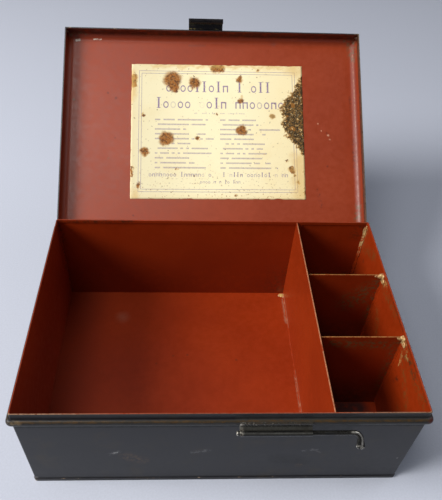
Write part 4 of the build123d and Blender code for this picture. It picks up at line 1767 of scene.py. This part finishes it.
@dataclass
class Studio:
    """Camera at the photograph's angle, a pale floor and soft daylight."""

    camera_place: Point = (-24.40, -177.94, 413.09)
    pitch: float = -45.24
    roll: float = -2.82
    yaw: float = -3.40
    image_height: float = 500.0
    focal_pixels: float = 560.8
    axis_right_pixels: float = -11.94
    axis_down_pixels: float = 9.02
    sensor: float = 36.0
    floor_half: float = 6.0
    floor_colour: Colour = (0.52, 0.55, 0.64)
    sky: Colour = (0.80, 0.86, 1.0)
    sky_strength: float = 0.11
    lamps: tuple[Lamp, ...] = (
        Lamp("window", (-1.70, -0.30, 1.40), (0.0, 0.1, 0.05), 1.05, 60.0, (1.0, 0.98, 0.95)),
        Lamp("fill", (1.35, 0.55, 1.45), (0.15, 0.1, 0.05), 1.2, 5.0, (0.95, 0.97, 1.0)),
        Lamp("overhead", (-0.45, -0.15, 1.65), (0.0, 0.1, 0.05), 0.8, 8.0, (1.0, 0.99, 0.97)),
    )

    def build(self) -> None:
        """Sets up the camera, the floor and the light."""
        self.place_camera()
        self.lay_floor()
        scene = bpy.context.scene
        world = bpy.data.worlds.new("soft_daylight")
        world.use_nodes = True
        background = world.node_tree.nodes["Background"]
        background.inputs["Color"].default_value = (*self.sky, 1.0)
        background.inputs["Strength"].default_value = self.sky_strength
        scene.world = world
        scene.view_settings.view_transform = "Standard"
        for lamp in self.lamps:
            lamp.build()

    def place_camera(self) -> None:
        """Puts the camera at the photograph's angle."""
        data = bpy.data.cameras.new("camera")
        camera = bpy.data.objects.new("camera", data)
        bpy.context.scene.collection.objects.link(camera)
        turn = Matrix.Identity(3)
        for degrees, axis in ((self.yaw, "Z"), (self.pitch, "X"), (self.roll, "Y")):
            turn = turn @ Matrix.Rotation(math.radians(degrees), 3, axis)
        right, forward, up = turn.col
        axes = Matrix((right, up, -forward)).transposed().to_4x4()
        camera.matrix_world = Matrix.Translation(Vector(self.camera_place) * MM) @ axes
        data.sensor_width = self.sensor
        data.lens = self.focal_pixels * self.sensor / self.image_height
        data.shift_x = -self.axis_right_pixels / self.image_height
        data.shift_y = self.axis_down_pixels / self.image_height
        data.clip_start = 0.01
        bpy.context.scene.camera = camera

    def lay_floor(self) -> None:
        """Lays the pale floor."""
        half = self.floor_half
        mesh = bpy.data.meshes.new("floor")
        corners = [(-half, -half, 0), (half, -half, 0), (half, half, 0), (-half, half, 0)]
        mesh.from_pydata(corners, [], [(0, 1, 2, 3)])
        s = Shader("pale_floor")
        weave = s.cloud(1.5, 2.0)
        colour = s.tint(self.floor_colour, weave.ease(0.3, 0.7, 0.97, 1.02))
        mesh.materials.append(s.surface(weave * 0.02, Base_Color=colour, Roughness=0.9))
        floor = bpy.data.objects.new("floor", mesh)
        bpy.context.scene.collection.objects.link(floor)


def main() -> None:
    """Builds the studio and each part of the box."""
    logging.basicConfig(level=logging.INFO, format="%(message)s")
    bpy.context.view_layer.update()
    for part in (Studio(), Wall(), Partitions(), Lid(), Label(), Latch()):
        part.build()
        LOG.info("finished %s", type(part).__name__)


if __name__ == "__main__":
    main()
